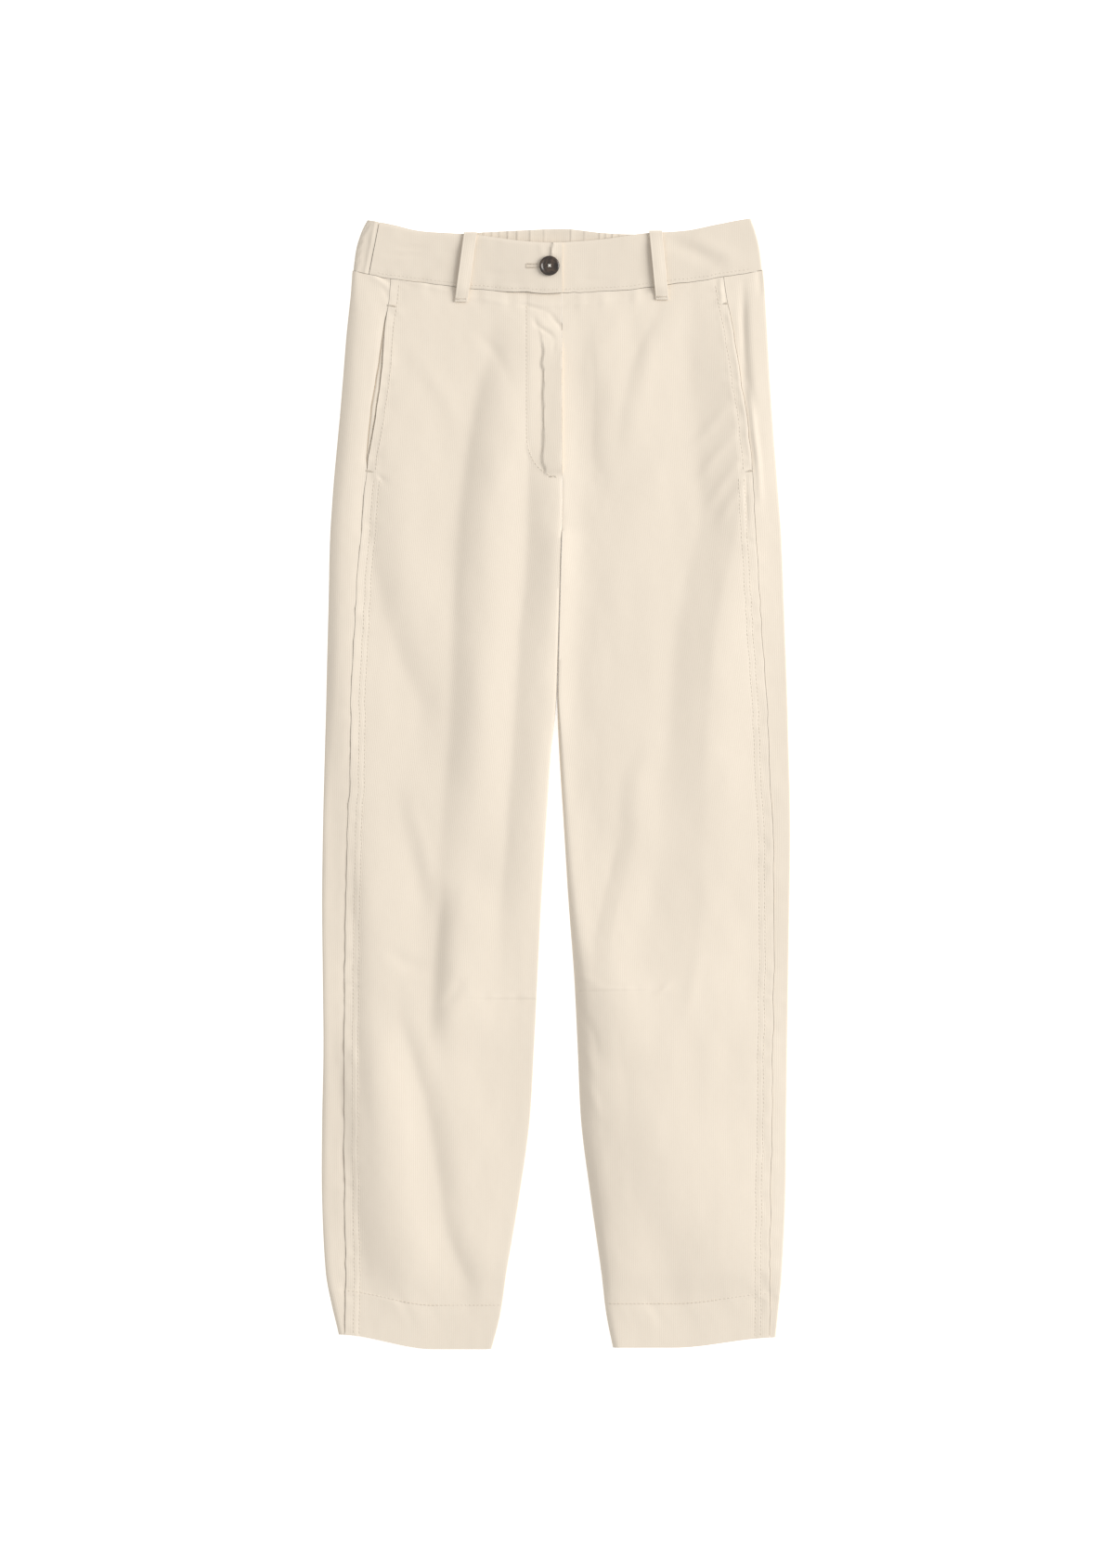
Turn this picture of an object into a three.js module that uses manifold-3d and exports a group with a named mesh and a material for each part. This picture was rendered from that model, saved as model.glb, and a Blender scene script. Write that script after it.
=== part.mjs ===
// High-waisted corduroy trousers, buttoned and laid flat on their back, front side up.
// Millimetres. +X to the viewer's right, +Y from the hems to the waist, +Z up from the surface.
// Origin: middle of the garment's box, on the surface that it lies on.
// Left and right are those of somebody who looks down at the garment.

import * as THREE from "three";
import { mergeVertices } from "three/addons/utils/BufferGeometryUtils.js";
import Module from "manifold-3d";

const wasm = await Module();
wasm.setup();

// Cloth and seams
const CLOTH = 1.2;
const SEAM_GAP = 0.3;
const BAND_THICK = 2;
const BAND_EDGE_THICK = 1.5;
const BAND_TURN = 9;
const HEM_THICK = 2;
const HEM_DEPTH = 39;

// Heights of the laid garment
const LEG_LIFT = 4.6;
const HIP_LIFT = 5.2;
const HEM_LIFT = 4.9;
const BAND_LIFT = 6;
const EDGE_MID = 3;
const EDGE_ROUND = 5;
const INNER_PUFF = { rise: 1.6, reach: 12, from: -170, over: 60, below: 0.35 };
const HIP_RISE = { from: 150, over: 120 };
const HEM_RISE = { above: 25, over: 30 };
const PRESSED = { from: 400, over: 45, left: 0.35 };

// Levels along the garment
const CROTCH_Y = 222;
const CROTCH_TURN = 6;
const HEM_Y = -492.5;
const WAIST_SEAM_Y = 442;
const UNDER_SEAM = { centre: 443.5, edge: 453, edgeX: 180 };
const HEM_FIT = { over: 70, slope: 1.6, underShort: 1.5 };
const WAIST_FIT_OVER = 90;

// Fly, stitched down in the shape of a J on the left front
const FLY = { width: 31, raise: 0.9, curveTop: 307, bottom: 270, edge: 3 };

// Forward side seams: the front lies over the side, with its allowance stitched down under it
const SEAM_STRIP = { flat: 9.5, end: 13, raise: 1, sink: 0.5, sinkReach: 6 };

// Pocket mouths in the forward side seams
const POCKET = { top: 418, bottom: 277, gape: 5.2, tuck: 6, above: 6, below: 8, thick: 1, clear: 0.35 };

// Waistband
const OVERLAP_END = 4.9;
const UNDERLAP_END = -20;
const UNDERLAP_ROOM = 2;
const OVERLAP_RAISE = BAND_THICK + SEAM_GAP;
const OVERLAP_RAMP = 24;
const SIDE_SEAM_FOOT = -165.5;
const SIDE_SEAM_HEAD = -156.5;
const GATHERS = {
  count: 52,
  height: 0.9,
  outside: 0.35,
  uneven: 0.25,
  unevenBeat: 0.61,
  sway: 1.1,
  swayBeat: 0.23,
};

// Belt loops. lean is how far the head stands to the right of the middle.
const LOOP = {
  width: 11.5,
  thick: 1.8,
  stand: 1.4,
  below: 11.5,
  headDrop: 0.5,
  clear: 0.45,
  panelClear: 0.5,
};
const LOOP_LEFT = { x: -80.2, lean: 4 };
const LOOP_RIGHT = { x: 90.4, lean: -2.9 };

// Button
const BUTTON = {
  x: -6.3,
  y: 457.2,
  radius: 8.8,
  thick: 3.1,
  rim: 1.7,
  rimFall: 0.9,
  dish: 0.9,
  holeRadius: 0.9,
  holeRing: 1.9,
};

const CLOTH_COLOUR = 0xebdfcf;
const BUTTON_COLOUR = 0x2b211c;

// Turns rows of numbers into records with the named columns.
function table(columns, ...rows) {
  return rows.map((row) => Object.fromEntries(columns.map((name, i) => [name, row[i]])));
}

// Outline and seams, one row for each level from the waist down.
const LEVELS = table(
  ["y", "outerLeft", "seamLeft", "innerLeft", "innerRight", "seamRight", "outerRight"],
  [498, -167, -146, 4.7, 4.7, 147, 171.8],
  [487, -172, -146, 4.7, 4.7, 147, 175.7],
  [471, -176.7, -146, 4.7, 4.7, 147, 179.6],
  [444, -180, -146.4, 4.7, 4.7, 147.4, 182.7],
  [422, -181.8, -148.2, 4.7, 4.7, 150.5, 184.9],
  [389, -185.8, -153.5, 4.7, 4.7, 157.2, 187.2],
  [323, -191.5, -162.2, 4.7, 4.7, 167.6, 191.5],
  [270, -196.4, -168.3, 4.8, 4.8, 173.4, 195.6],
  [225, -199.6, -172.3, 4.6, 4.6, 175.8, 198.9],
  [200, -200.5, -174.5, 3.9, 3.9, 177.6, 200],
  [160, -201.3, -177.5, 2.8, 2.8, 180.4, 201.4],
  [94, -203, -181, 0.9, 0.9, 184, 203.8],
  [73, -203.4, -181.5, 0, 0.5, 185.3, 204.5],
  [28, -204.6, -182.5, -4.5, 2.1, 187.4, 205.6],
  [-37, -206.2, -184, -8.6, 6.2, 190.5, 207],
  [-103, -207, -185.7, -12.7, 10.3, 191.5, 206.3],
  [-168, -206.4, -187, -16, 15.2, 191.5, 205.5],
  [-234, -205.8, -187.4, -19.3, 18.5, 190.7, 204.6],
  [-300, -207, -187.4, -23.4, 21.7, 189.8, 203.8],
  [-365, -207, -186.8, -32.4, 30, 189, 203],
  [-431, -203.8, -186.6, -43.5, 39.3, 188.6, 199.8],
  [-464, -198.5, -186.6, -49, 43.6, 188.2, 197],
  [-492.5, -192.3, -186.6, -57, 49.6, 188, 194],
);

// Heights of the waist's edges, one row for each place from left to right.
const WAIST = table(
  ["x", "seam", "top", "backTop"],
  [-180, 453, 499.3, 498.8],
  [-168, 450.5, 498, 497.4],
  [-146, 445.7, 494, 493],
  [-122, 443, 488.4, 487.8],
  [-90, 439, 486, 485.6],
  [-70, 436.8, 484.8, 486.8],
  [-32, 434, 479.5, 488.8],
  [-5, 432.8, 477.8, 490],
  [11, 433.3, 478.5, 490],
  [41, 434.8, 481, 486.6],
  [77, 437.6, 486, 485.3],
  [115, 442.8, 488.6, 488],
  [142, 446.8, 494, 493.2],
  [171, 451.5, 499.3, 498.6],
  [181, 453, 499.5, 498.8],
);

// Lower edges of the legs, at their outer and inner corners.
const HEM = {
  left: { outer: -486, inner: -499 },
  right: { outer: -488.5, inner: -497.5 },
};

// The largest folds as ridges that run along the legs: how far each rises, how far its flanks reach to
// the left and to the right, how sharp its crest is (0 to 1), and the crest's course from the waist down.
const FOLDS = table(
  ["rise", "left", "right", "pinch", "crest"],
  [3.4, 19, 30, 0, [
    [-24, 392], [-33, 350], [-38, 323], [-48, 296], [-54, 262], [-60, 209], [-59, 151], [-62, 102],
    [-64, 61], [-71, 20], [-76, -21], [-81, -78],
  ]],
  [2.8, 30, 22, 0, [[-3, 395], [-4, 300], [-5, 200], [-8, 110], [-11, 30], [-14, -60]]],
  [1.6, 12, 30, 0.3, [[-152, 230], [-146, 190], [-137, 150], [-130, 105], [-120, 70]]],
  [2.6, 38, 40, 0, [
    [-171, 140], [-168, 36], [-162, -45], [-156, -130], [-150, -215], [-143, -300], [-136, -380],
    [-128, -450],
  ]],
  [2, 13, 30, 0, [[-166, -60], [-162, -115], [-160, -193], [-155, -250], [-150, -300]]],
  [4, 20, 34, 0, [
    [-81, -85], [-83, -168], [-85, -218], [-86, -259], [-82, -304], [-75, -349], [-72, -390],
    [-65, -423], [-53, -455],
  ]],
  [1.6, 12, 18, 0, [[-90, -100], [-91, -168], [-90, -215]]],
  [1.4, 10, 16, 0.3, [[-120, -21], [-115, -46], [-100, -74], [-91, -107]]],
  [3.8, 34, 40, 1, [
    [148, 397], [157, 345], [161, 290], [163, 240], [156, 190], [150, 140], [143, 95], [140, 50],
  ]],
  [2, 32, 40, 0.8, [[143, 80], [141, 40], [140, -30], [138, -110], [126, -170], [116, -200]]],
  [1.8, 14, 26, 0.3, [[82, 28], [72, 4], [70, -45], [62, -75], [56, -100], [50, -125], [47, -150]]],
  [4.6, 92, 60, 0, [[96, -150], [112, -215], [122, -290], [126, -370], [130, -460]]],
  [0.9, 11, 22, 0, [[71, -205], [75, -260], [80, -320], [84, -390]]],
  [0.9, 12, 22, 0, [[42, 400], [46, 350], [44, 320], [44, 280]]],
  [1, 12, 26, 0, [[99, 400], [89, 348], [83, 323], [80, 299], [78, 265]]],
);
const FOLD_FADE = 0.22;
const FOLD_FOOT = 0.25;

function clamp(value, low, high) {
  return Math.min(Math.max(value, low), high);
}

function mix(a, b, t) {
  return a + (b - a) * t;
}

function smooth(t) {
  const c = clamp(t, 0, 1);
  return c * c * (3 - 2 * c);
}

// A smooth curve through the points [at, value], level beyond its ends.
function curveThrough(points) {
  const p = [...points].sort((a, b) => a[0] - b[0]);
  const slope = p.map((_, i) => {
    const before = p[Math.max(i - 1, 0)];
    const after = p[Math.min(i + 1, p.length - 1)];
    return (after[1] - before[1]) / (after[0] - before[0]);
  });
  return (at) => {
    const s = clamp(at, p[0][0], p[p.length - 1][0]);
    let i = 0;
    while (i < p.length - 2 && s > p[i + 1][0]) i += 1;
    const span = p[i + 1][0] - p[i][0];
    const t = (s - p[i][0]) / span;
    const rise = 3 * (p[i + 1][1] - p[i][1]) / span - 2 * slope[i] - slope[i + 1];
    const bend = slope[i] + slope[i + 1] - 2 * (p[i + 1][1] - p[i][1]) / span;
    return p[i][1] + span * (t * slope[i] + t * t * rise + t * t * t * bend);
  };
}

function column(rows, at, name) {
  return curveThrough(rows.map((row) => [row[at], row[name]]));
}

const waistSeam = column(WAIST, "x", "seam");
const bandTop = column(WAIST, "x", "top");
const backBandTop = column(WAIST, "x", "backTop");

// The two halves of the garment. "out" is the sign of x towards the half's outer edge.
function half(name, out) {
  const label = name[0].toUpperCase() + name.slice(1);
  return {
    name,
    out,
    outer: column(LEVELS, "y", "outer" + label),
    seam: column(LEVELS, "y", "seam" + label),
    inner: column(LEVELS, "y", "inner" + label),
    hem: HEM[name],
  };
}
const LEFT = half("left", -1);
const RIGHT = half("right", 1);

const folds = FOLDS.map((fold) => ({
  ...fold,
  line: curveThrough(fold.crest.map(([x, y]) => [y, x])),
  head: fold.crest[0][1],
  foot: fold.crest[fold.crest.length - 1][1],
}));

// Left flank of a fold, from its crest (0) to its foot (1).
function flank(u, pinch) {
  const round = 1 - u * u;
  const blunt = (round + Math.hypot(round, FOLD_FOOT)) / (1 + Math.hypot(1, FOLD_FOOT));
  const sharp = u < 1 ? (1 - u) ** 2 : 0;
  return mix(blunt, sharp, pinch);
}

// Height that the folds add at a place.
function foldHeight(x, y) {
  let sum = 0;
  for (const fold of folds) {
    const along = (fold.head - y) / (fold.head - fold.foot);
    const grows = smooth((along + FOLD_FADE) / (2 * FOLD_FADE));
    const fade = grows * smooth((1 + FOLD_FADE - along) / (2 * FOLD_FADE));
    const off = x - fold.line(y);
    const shape = off < 0 ? flank(-off / fold.left, fold.pinch) : Math.exp(-((off / fold.right) ** 2));
    sum += fold.rise * fade * shape;
  }
  return sum;
}

// Quarter round, from 0 on an edge to 1 at the distance where its turn ends.
function turn(distance) {
  const d = clamp(distance / EDGE_ROUND, 0, 1);
  return Math.sqrt(1 - (1 - d) ** 2);
}

// 0 where the halves are one tube, above the crotch, and 1 where each leg is closed.
function legClosed(y) {
  return smooth((CROTCH_Y + CROTCH_TURN - y) / (2 * CROTCH_TURN));
}

// How far both edges of a half are rounded at a place: 0 on an edge, 1 away from them.
function edgeTurn(side, x, y) {
  const fromOuter = side.out * (side.outer(y) - x);
  const fromInner = side.out * (x - side.inner(y)) - SEAM_GAP / 2;
  return turn(fromOuter) * mix(1, turn(fromInner), legClosed(y));
}

// Upper cloth before its edges are rounded.
function lift(side, x, y) {
  const fromInner = side.out * (x - side.inner(y));
  const hips = smooth((y - HIP_RISE.from) / HIP_RISE.over);
  const nearHem = smooth((HEM_Y + HEM_DEPTH + HEM_RISE.above - y) / HEM_RISE.over);
  const base = mix(mix(LEG_LIFT, HIP_LIFT, hips), HEM_LIFT, nearHem);
  const puffed = legClosed(y) * mix(INNER_PUFF.below, 1, smooth((y - INNER_PUFF.from) / INNER_PUFF.over));
  const puff = INNER_PUFF.rise * puffed * Math.exp(-((fromInner / INNER_PUFF.reach) ** 2));
  const calm = mix(1, PRESSED.left, Math.max(smooth((y - PRESSED.from) / PRESSED.over), nearHem));
  return base + calm * (puff + foldHeight(x, y));
}

// Left border of the fly's stitched J at a level.
function flyLine(y) {
  const down = clamp((FLY.curveTop - y) / (FLY.curveTop - FLY.bottom), 0, 1);
  return LEFT.inner(y) - FLY.width * Math.sqrt(1 - down * down);
}

function flyRaise(side, x, y) {
  if (side !== LEFT || y < FLY.bottom) return 0;
  return FLY.raise * smooth((x - flyLine(y)) / FLY.edge);
}

// Outer face of a front panel.
function frontHeight(side, x, y) {
  const fromSeam = side.out * (side.seam(y) - x);
  const past = (fromSeam - SEAM_STRIP.flat) / (SEAM_STRIP.end - SEAM_STRIP.flat);
  const strip = SEAM_STRIP.raise * (1 - smooth(past));
  const top = lift(side, x, y) + strip + flyRaise(side, x, y);
  return EDGE_MID + (top - EDGE_MID) * edgeTurn(side, x, y);
}

// Outer face of the side, between the forward seam and the outer edge.
function sideHeight(side, x, y) {
  const fromSeam = side.out * (x - side.seam(y));
  const sink = SEAM_STRIP.sink * (1 - smooth(fromSeam / SEAM_STRIP.sinkReach));
  const top = lift(side, x, y) - sink;
  return EDGE_MID + (top - EDGE_MID) * edgeTurn(side, x, y);
}

// Outer face of the lower cloth, flat on the surface and turned up at the edges.
function underHeight(side, x, y) {
  return EDGE_MID * (1 - edgeTurn(side, x, y));
}

// How far a pocket's mouth stands open at a level.
function gape(y) {
  const down = (POCKET.top - y) / (POCKET.top - POCKET.bottom);
  if (down <= 0 || down >= 1) return 0;
  return POCKET.gape * Math.sin(Math.PI * down ** 1.3);
}

// A closed wall under a grid of outer points, one cloth's thickness deep.
// point(i, j) gives the outer point of column i and row j; thickness(i, j) the wall's depth there.
// level(j) says how far the last column's end faces up and down only, as at an inseam.
function wall({ columns, rows, point, thickness, flip, level = () => 0 }) {
  const outer = [];
  for (let j = 0; j < rows; j += 1) {
    for (let i = 0; i < columns; i += 1) outer.push(point(i, j));
  }
  const cells = [];
  for (let j = 0; j < rows - 1; j += 1) {
    for (let i = 0; i < columns - 1; i += 1) {
      const a = j * columns + i;
      const quad = [a, a + 1, a + columns + 1, a + columns];
      if (flip) quad.reverse();
      cells.push([quad[0], quad[1], quad[2]], [quad[0], quad[2], quad[3]]);
    }
  }
  const normals = outer.map(() => new THREE.Vector3());
  const ab = new THREE.Vector3();
  const ac = new THREE.Vector3();
  for (const [a, b, c] of cells) {
    ab.subVectors(outer[b], outer[a]);
    ac.subVectors(outer[c], outer[a]);
    ab.cross(ac);
    for (const k of [a, b, c]) normals[k].add(ab);
  }
  const inner = outer.map((p, k) => {
    const i = k % columns;
    const j = Math.floor(k / columns);
    const normal = normals[k].normalize();
    if (i === columns - 1) normal.z *= 1 - level(j);
    return p.clone().addScaledVector(normal.normalize(), -thickness(i, j));
  });
  const count = outer.length;
  const index = [];
  for (const [a, b, c] of cells) index.push(a, b, c, count + a, count + c, count + b);
  const border = [];
  for (let i = 0; i < columns; i += 1) border.push(i);
  for (let j = 1; j < rows; j += 1) border.push(j * columns + columns - 1);
  for (let i = columns - 2; i >= 0; i -= 1) border.push((rows - 1) * columns + i);
  for (let j = rows - 2; j >= 1; j -= 1) border.push(j * columns);
  if (flip) border.reverse();
  border.forEach((a, k) => {
    const b = border[(k + 1) % border.length];
    index.push(a, count + a, count + b, a, count + b, b);
  });
  const geometry = new THREE.BufferGeometry();
  const positions = [...outer, ...inner].flatMap((p) => [p.x, p.y, p.z]);
  geometry.setAttribute("position", new THREE.Float32BufferAttribute(positions, 3));
  geometry.setIndex(index);
  geometry.computeVertexNormals();
  return geometry;
}

// Levels of a leg panel's rows: closer together at the hem, the crotch, the fly's end and the waist.
function panelLevels() {
  const stops = table(
    ["from", "to", "steps"],
    [HEM_Y, HEM_Y + HEM_DEPTH, 2],
    [HEM_Y + HEM_DEPTH, HEM_Y + HEM_DEPTH + 3, 1],
    [HEM_Y + HEM_DEPTH + 3, CROTCH_Y - 15, 21],
    [CROTCH_Y - 15, CROTCH_Y - CROTCH_TURN, 1],
    [CROTCH_Y - CROTCH_TURN, CROTCH_Y + CROTCH_TURN, 3],
    [CROTCH_Y + CROTCH_TURN, FLY.bottom, 3],
    [FLY.bottom, FLY.curveTop, 4],
    [FLY.curveTop, WAIST_SEAM_Y, 5],
  );
  const levels = [HEM_Y];
  for (const { from, to, steps } of stops) {
    for (let k = 1; k <= steps; k += 1) levels.push(mix(from, to, k / steps));
  }
  return levels;
}
const PANEL_LEVELS = panelLevels();

// Moves a panel's row at its nominal level to the curves of the hem and of the waist seam.
function fitLevel(side, x, y, waistLine, hemShort) {
  const hemWidth = Math.abs(side.outer(HEM_Y) - side.inner(HEM_Y));
  const across = clamp((side.out * (side.outer(HEM_Y) - x)) / hemWidth, 0, 1);
  const hem = mix(side.hem.outer, side.hem.inner, smooth(across * HEM_FIT.slope)) + hemShort;
  const hemPull = 1 - smooth((y - HEM_Y) / HEM_FIT.over);
  const waistPull = smooth((y - (WAIST_SEAM_Y - WAIST_FIT_OVER)) / WAIST_FIT_OVER);
  return y + (hem - HEM_Y) * hemPull + (waistLine(x) - SEAM_GAP / 2 - WAIST_SEAM_Y) * waistPull;
}

// Depth of a leg panel's wall: the hem is turned up inside, but for its folds at the edges.
function panelDepth(y, onEdge) {
  return y < HEM_Y + HEM_DEPTH + 1 && !onEdge ? HEM_THICK : CLOTH;
}

// Front panel: from the forward side seam to the centre front or, below the crotch, to the inseam.
const FRONT_FROM_SEAM = [0, 5, SEAM_STRIP.flat, SEAM_STRIP.end];
const FRONT_MIDDLE_STEPS = 8;
const FRONT_FROM_FLY = [42, FLY.width, FLY.width - FLY.edge, 20, 10, 2.5, 0];
const FRONT_FROM_INSEAM = [42, 28, 16, EDGE_ROUND, EDGE_ROUND / 2, EDGE_ROUND * 0.134, 0];

function frontDistances(y) {
  const below = smooth((FLY.bottom - y) / (FLY.bottom - CROTCH_Y - CROTCH_TURN));
  return FRONT_FROM_FLY.map((d, k) => mix(d, FRONT_FROM_INSEAM[k], below));
}

function frontPanel(side) {
  const columns = FRONT_FROM_SEAM.length + FRONT_MIDDLE_STEPS - 1 + FRONT_FROM_FLY.length;
  const point = (i, j) => {
    const y = PANEL_LEVELS[j];
    const seam = side.seam(y) - side.out * (SEAM_GAP / 2 + gape(y) / 2);
    const inner = side.inner(y) + (side.out * SEAM_GAP) / 2;
    const fromInner = frontDistances(y);
    const beforeMiddle = FRONT_FROM_SEAM.length - 1;
    const afterMiddle = beforeMiddle + FRONT_MIDDLE_STEPS;
    let x;
    if (i <= beforeMiddle) x = seam - side.out * FRONT_FROM_SEAM[i];
    else if (i >= afterMiddle) x = inner + side.out * fromInner[i - afterMiddle];
    else {
      const start = seam - side.out * SEAM_STRIP.end;
      const end = inner + side.out * fromInner[0];
      x = mix(start, end, (i - beforeMiddle) / FRONT_MIDDLE_STEPS);
    }
    const atInner = i === columns - 1 ? (SEAM_GAP / 2) * legClosed(y) : 0;
    const z = frontHeight(side, x, y) + atInner;
    return new THREE.Vector3(x, fitLevel(side, x, y, waistSeam, 0), z);
  };
  return wall({
    columns,
    rows: PANEL_LEVELS.length,
    point,
    thickness: (i, j) => panelDepth(PANEL_LEVELS[j], i > columns - 5),
    flip: side === RIGHT,
    level: (j) => legClosed(PANEL_LEVELS[j]),
  });
}

// Back panel: from the forward side seam round the outer edge and under the garment to the centre back
// or, below the crotch, to the inseam.
const ROUND_STEPS = [1, 0.5, 0.134];
const BACK_FLAT = [0.15, 0.35, 0.55, 0.75];
const BACK_LEVEL_STEP = 2;

// Waist seam under the garment, level with the front's at the side edges.
function underSeam(x) {
  return UNDER_SEAM.centre + (UNDER_SEAM.edge - UNDER_SEAM.centre) * (x / UNDER_SEAM.edgeX) ** 2;
}

function backPanel(side) {
  const last = PANEL_LEVELS.length - 1;
  const levels = PANEL_LEVELS.filter((y, j) => {
    const nearCrotch = Math.abs(y - CROTCH_Y) < 16;
    const nearEnds = j < 4 || j > last - 1;
    return nearCrotch || nearEnds || j % BACK_LEVEL_STEP === 0;
  });
  const columns = 2 * ROUND_STEPS.length + 3 + BACK_FLAT.length + ROUND_STEPS.length + 2;
  const point = (i, j) => {
    const y = levels[j];
    const width = Math.abs(side.outer(y) - side.seam(y)) - SEAM_GAP / 2 - gape(y) / 2;
    const onFront = [width, mix(EDGE_ROUND, width, 0.5), ...ROUND_STEPS.map((s) => s * EDGE_ROUND), 0];
    const under = [...ROUND_STEPS].reverse().map((s) => s * EDGE_ROUND);
    if (i < onFront.length) {
      const x = side.outer(y) - side.out * onFront[i];
      return new THREE.Vector3(x, fitLevel(side, x, y, waistSeam, 0), sideHeight(side, x, y));
    }
    const k = i - onFront.length;
    const innerX = side.inner(y) + (side.out * SEAM_GAP) / 2;
    const innerSteps = [16, ...ROUND_STEPS.map((s) => s * EDGE_ROUND), 0];
    let x;
    const flat = k - under.length;
    if (flat < 0) x = side.outer(y) - side.out * under[k];
    else if (flat < BACK_FLAT.length) x = mix(side.outer(y), innerX, BACK_FLAT[flat]);
    else x = innerX + side.out * innerSteps[flat - BACK_FLAT.length];
    const atInner = k === columns - 1 - onFront.length ? (SEAM_GAP / 2) * legClosed(y) : 0;
    const z = underHeight(side, x, y) - atInner;
    return new THREE.Vector3(x, fitLevel(side, x, y, underSeam, HEM_FIT.underShort * smooth(k / 4)), z);
  };
  return wall({
    columns,
    rows: levels.length,
    point,
    thickness: (i, j) => panelDepth(levels[j], i < 9 || i > columns - 5),
    flip: side === LEFT,
    level: (j) => legClosed(levels[j]),
  });
}

// Upper face of the front waistband.
function bandHeight(side, x, y) {
  const rampStart = UNDERLAP_END - UNDERLAP_ROOM - OVERLAP_RAMP;
  const raised = side === LEFT ? OVERLAP_RAISE * smooth((x - rampStart) / OVERLAP_RAMP) : 0;
  const top = BAND_LIFT + raised;
  return EDGE_MID + (top - EDGE_MID) * edgeTurn(side, x, y);
}

// Left side seam of the waistband, from its foot (v = 0) to its head (v = 1).
function sideSeamX(v) {
  return mix(SIDE_SEAM_FOOT, SIDE_SEAM_HEAD, v);
}

const BAND_ROWS = 4;
const BAND_FOOT_Y = 450;
const BAND_HEAD_Y = 498;

function bandLevel(x, v, top) {
  return mix(waistSeam(x) + SEAM_GAP / 2, top(x), v);
}

function frontBandLeft() {
  const columns = 18;
  const point = (i, j) => {
    const v = j / (BAND_ROWS - 1);
    const x = mix(sideSeamX(v) + SEAM_GAP / 2, OVERLAP_END, i / (columns - 1));
    const y = bandLevel(x, v, bandTop);
    return new THREE.Vector3(x, y, bandHeight(LEFT, x, y));
  };
  return wall({ columns, rows: BAND_ROWS, point, thickness: () => BAND_THICK, flip: false });
}

function frontBandRight() {
  const flat = 15;
  const turns = [...ROUND_STEPS.map((s) => s * EDGE_ROUND), 0];
  const point = (i, j) => {
    const v = j / (BAND_ROWS - 1);
    const edge = RIGHT.outer(mix(BAND_FOOT_Y, BAND_HEAD_Y, v));
    const flatX = mix(UNDERLAP_END, edge - BAND_TURN, i / (flat - 1));
    const x = i < flat ? flatX : edge - turns[i - flat];
    const y = bandLevel(x, v, bandTop);
    const onEdge = i === flat + turns.length - 1 ? SEAM_GAP / 2 : 0;
    const top = EDGE_MID + (BAND_LIFT - EDGE_MID) * turn(edge - x) + onEdge;
    return new THREE.Vector3(x, y, top);
  };
  return wall({
    columns: flat + turns.length,
    rows: BAND_ROWS,
    point,
    thickness: (i) => (i < flat ? BAND_THICK : BAND_EDGE_THICK),
    flip: false,
    level: () => 1,
  });
}

// Gathered back waistband: from the left side seam on the front, round the left edge, under the garment
// and up to the right edge. Its gathers stand on the inside, and outside where it turns to the front.
function backBand() {
  const perWave = 4;
  const underSteps = GATHERS.count * perWave;
  const leftTurns = [0.134, 0.5, 1].map((s) => s * EDGE_ROUND);
  const frontSteps = [1, 0.55, 0];
  const rows = 3;
  const place = (i, v) => {
    const level = mix(BAND_FOOT_Y, BAND_HEAD_Y, v);
    const leftEdge = LEFT.outer(level);
    const rightEdge = RIGHT.outer(level);
    const frontWidth = sideSeamX(v) - SEAM_GAP - leftEdge;
    if (i < frontSteps.length) {
      const x = leftEdge + mix(EDGE_ROUND, frontWidth, frontSteps[i]);
      return { x, upper: true, turned: turn(x - leftEdge) };
    }
    const a = i - frontSteps.length;
    if (a < 2) return { x: leftEdge + leftTurns[1 - a], upper: true, turned: turn(leftTurns[1 - a]) };
    if (a === 2) return { x: leftEdge, upper: false, turned: 0 };
    if (a < 6) return { x: leftEdge + leftTurns[a - 3], upper: false, turned: turn(leftTurns[a - 3]) };
    const k = a - 5;
    if (k <= underSteps) {
      const sway = GATHERS.sway * Math.sin(k * GATHERS.swayBeat) * Math.sin((Math.PI * k) / underSteps);
      const x = mix(leftEdge + EDGE_ROUND, rightEdge - EDGE_ROUND, k / underSteps) + sway;
      return { x, upper: false, turned: 1, wave: k };
    }
    const d = [0.5, 0.134, 0][k - underSteps - 1] * EDGE_ROUND;
    return { x: rightEdge - d, upper: false, turned: turn(d), last: d === 0 };
  };
  const columns = frontSteps.length + 6 + underSteps + 3;
  const point = (i, j) => {
    const v = j / (rows - 1);
    const at = place(i, v);
    const foot = (at.upper ? waistSeam(at.x) : underSeam(at.x)) + SEAM_GAP / 2;
    const head = at.upper ? bandTop(at.x) : backBandTop(at.x);
    const ripple = at.upper && i < 3 ? GATHERS.outside * Math.cos(i * Math.PI) : 0;
    const z = at.upper
      ? EDGE_MID + (BAND_LIFT - EDGE_MID + ripple) * at.turned
      : EDGE_MID * (1 - at.turned) - (at.last ? SEAM_GAP / 2 : 0);
    return new THREE.Vector3(at.x, mix(foot, head, v), z);
  };
  const depth = (i, j) => {
    const { wave } = place(i, j / (rows - 1));
    if (wave === undefined) return BAND_EDGE_THICK;
    const height = GATHERS.height * (1 - GATHERS.uneven * (1 - Math.sin(wave * GATHERS.unevenBeat)));
    return BAND_EDGE_THICK + height * 0.5 * (1 - Math.cos((wave * Math.PI * 2) / perWave));
  };
  return wall({ columns, rows, point, thickness: depth, flip: true, level: () => 1 });
}

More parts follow.
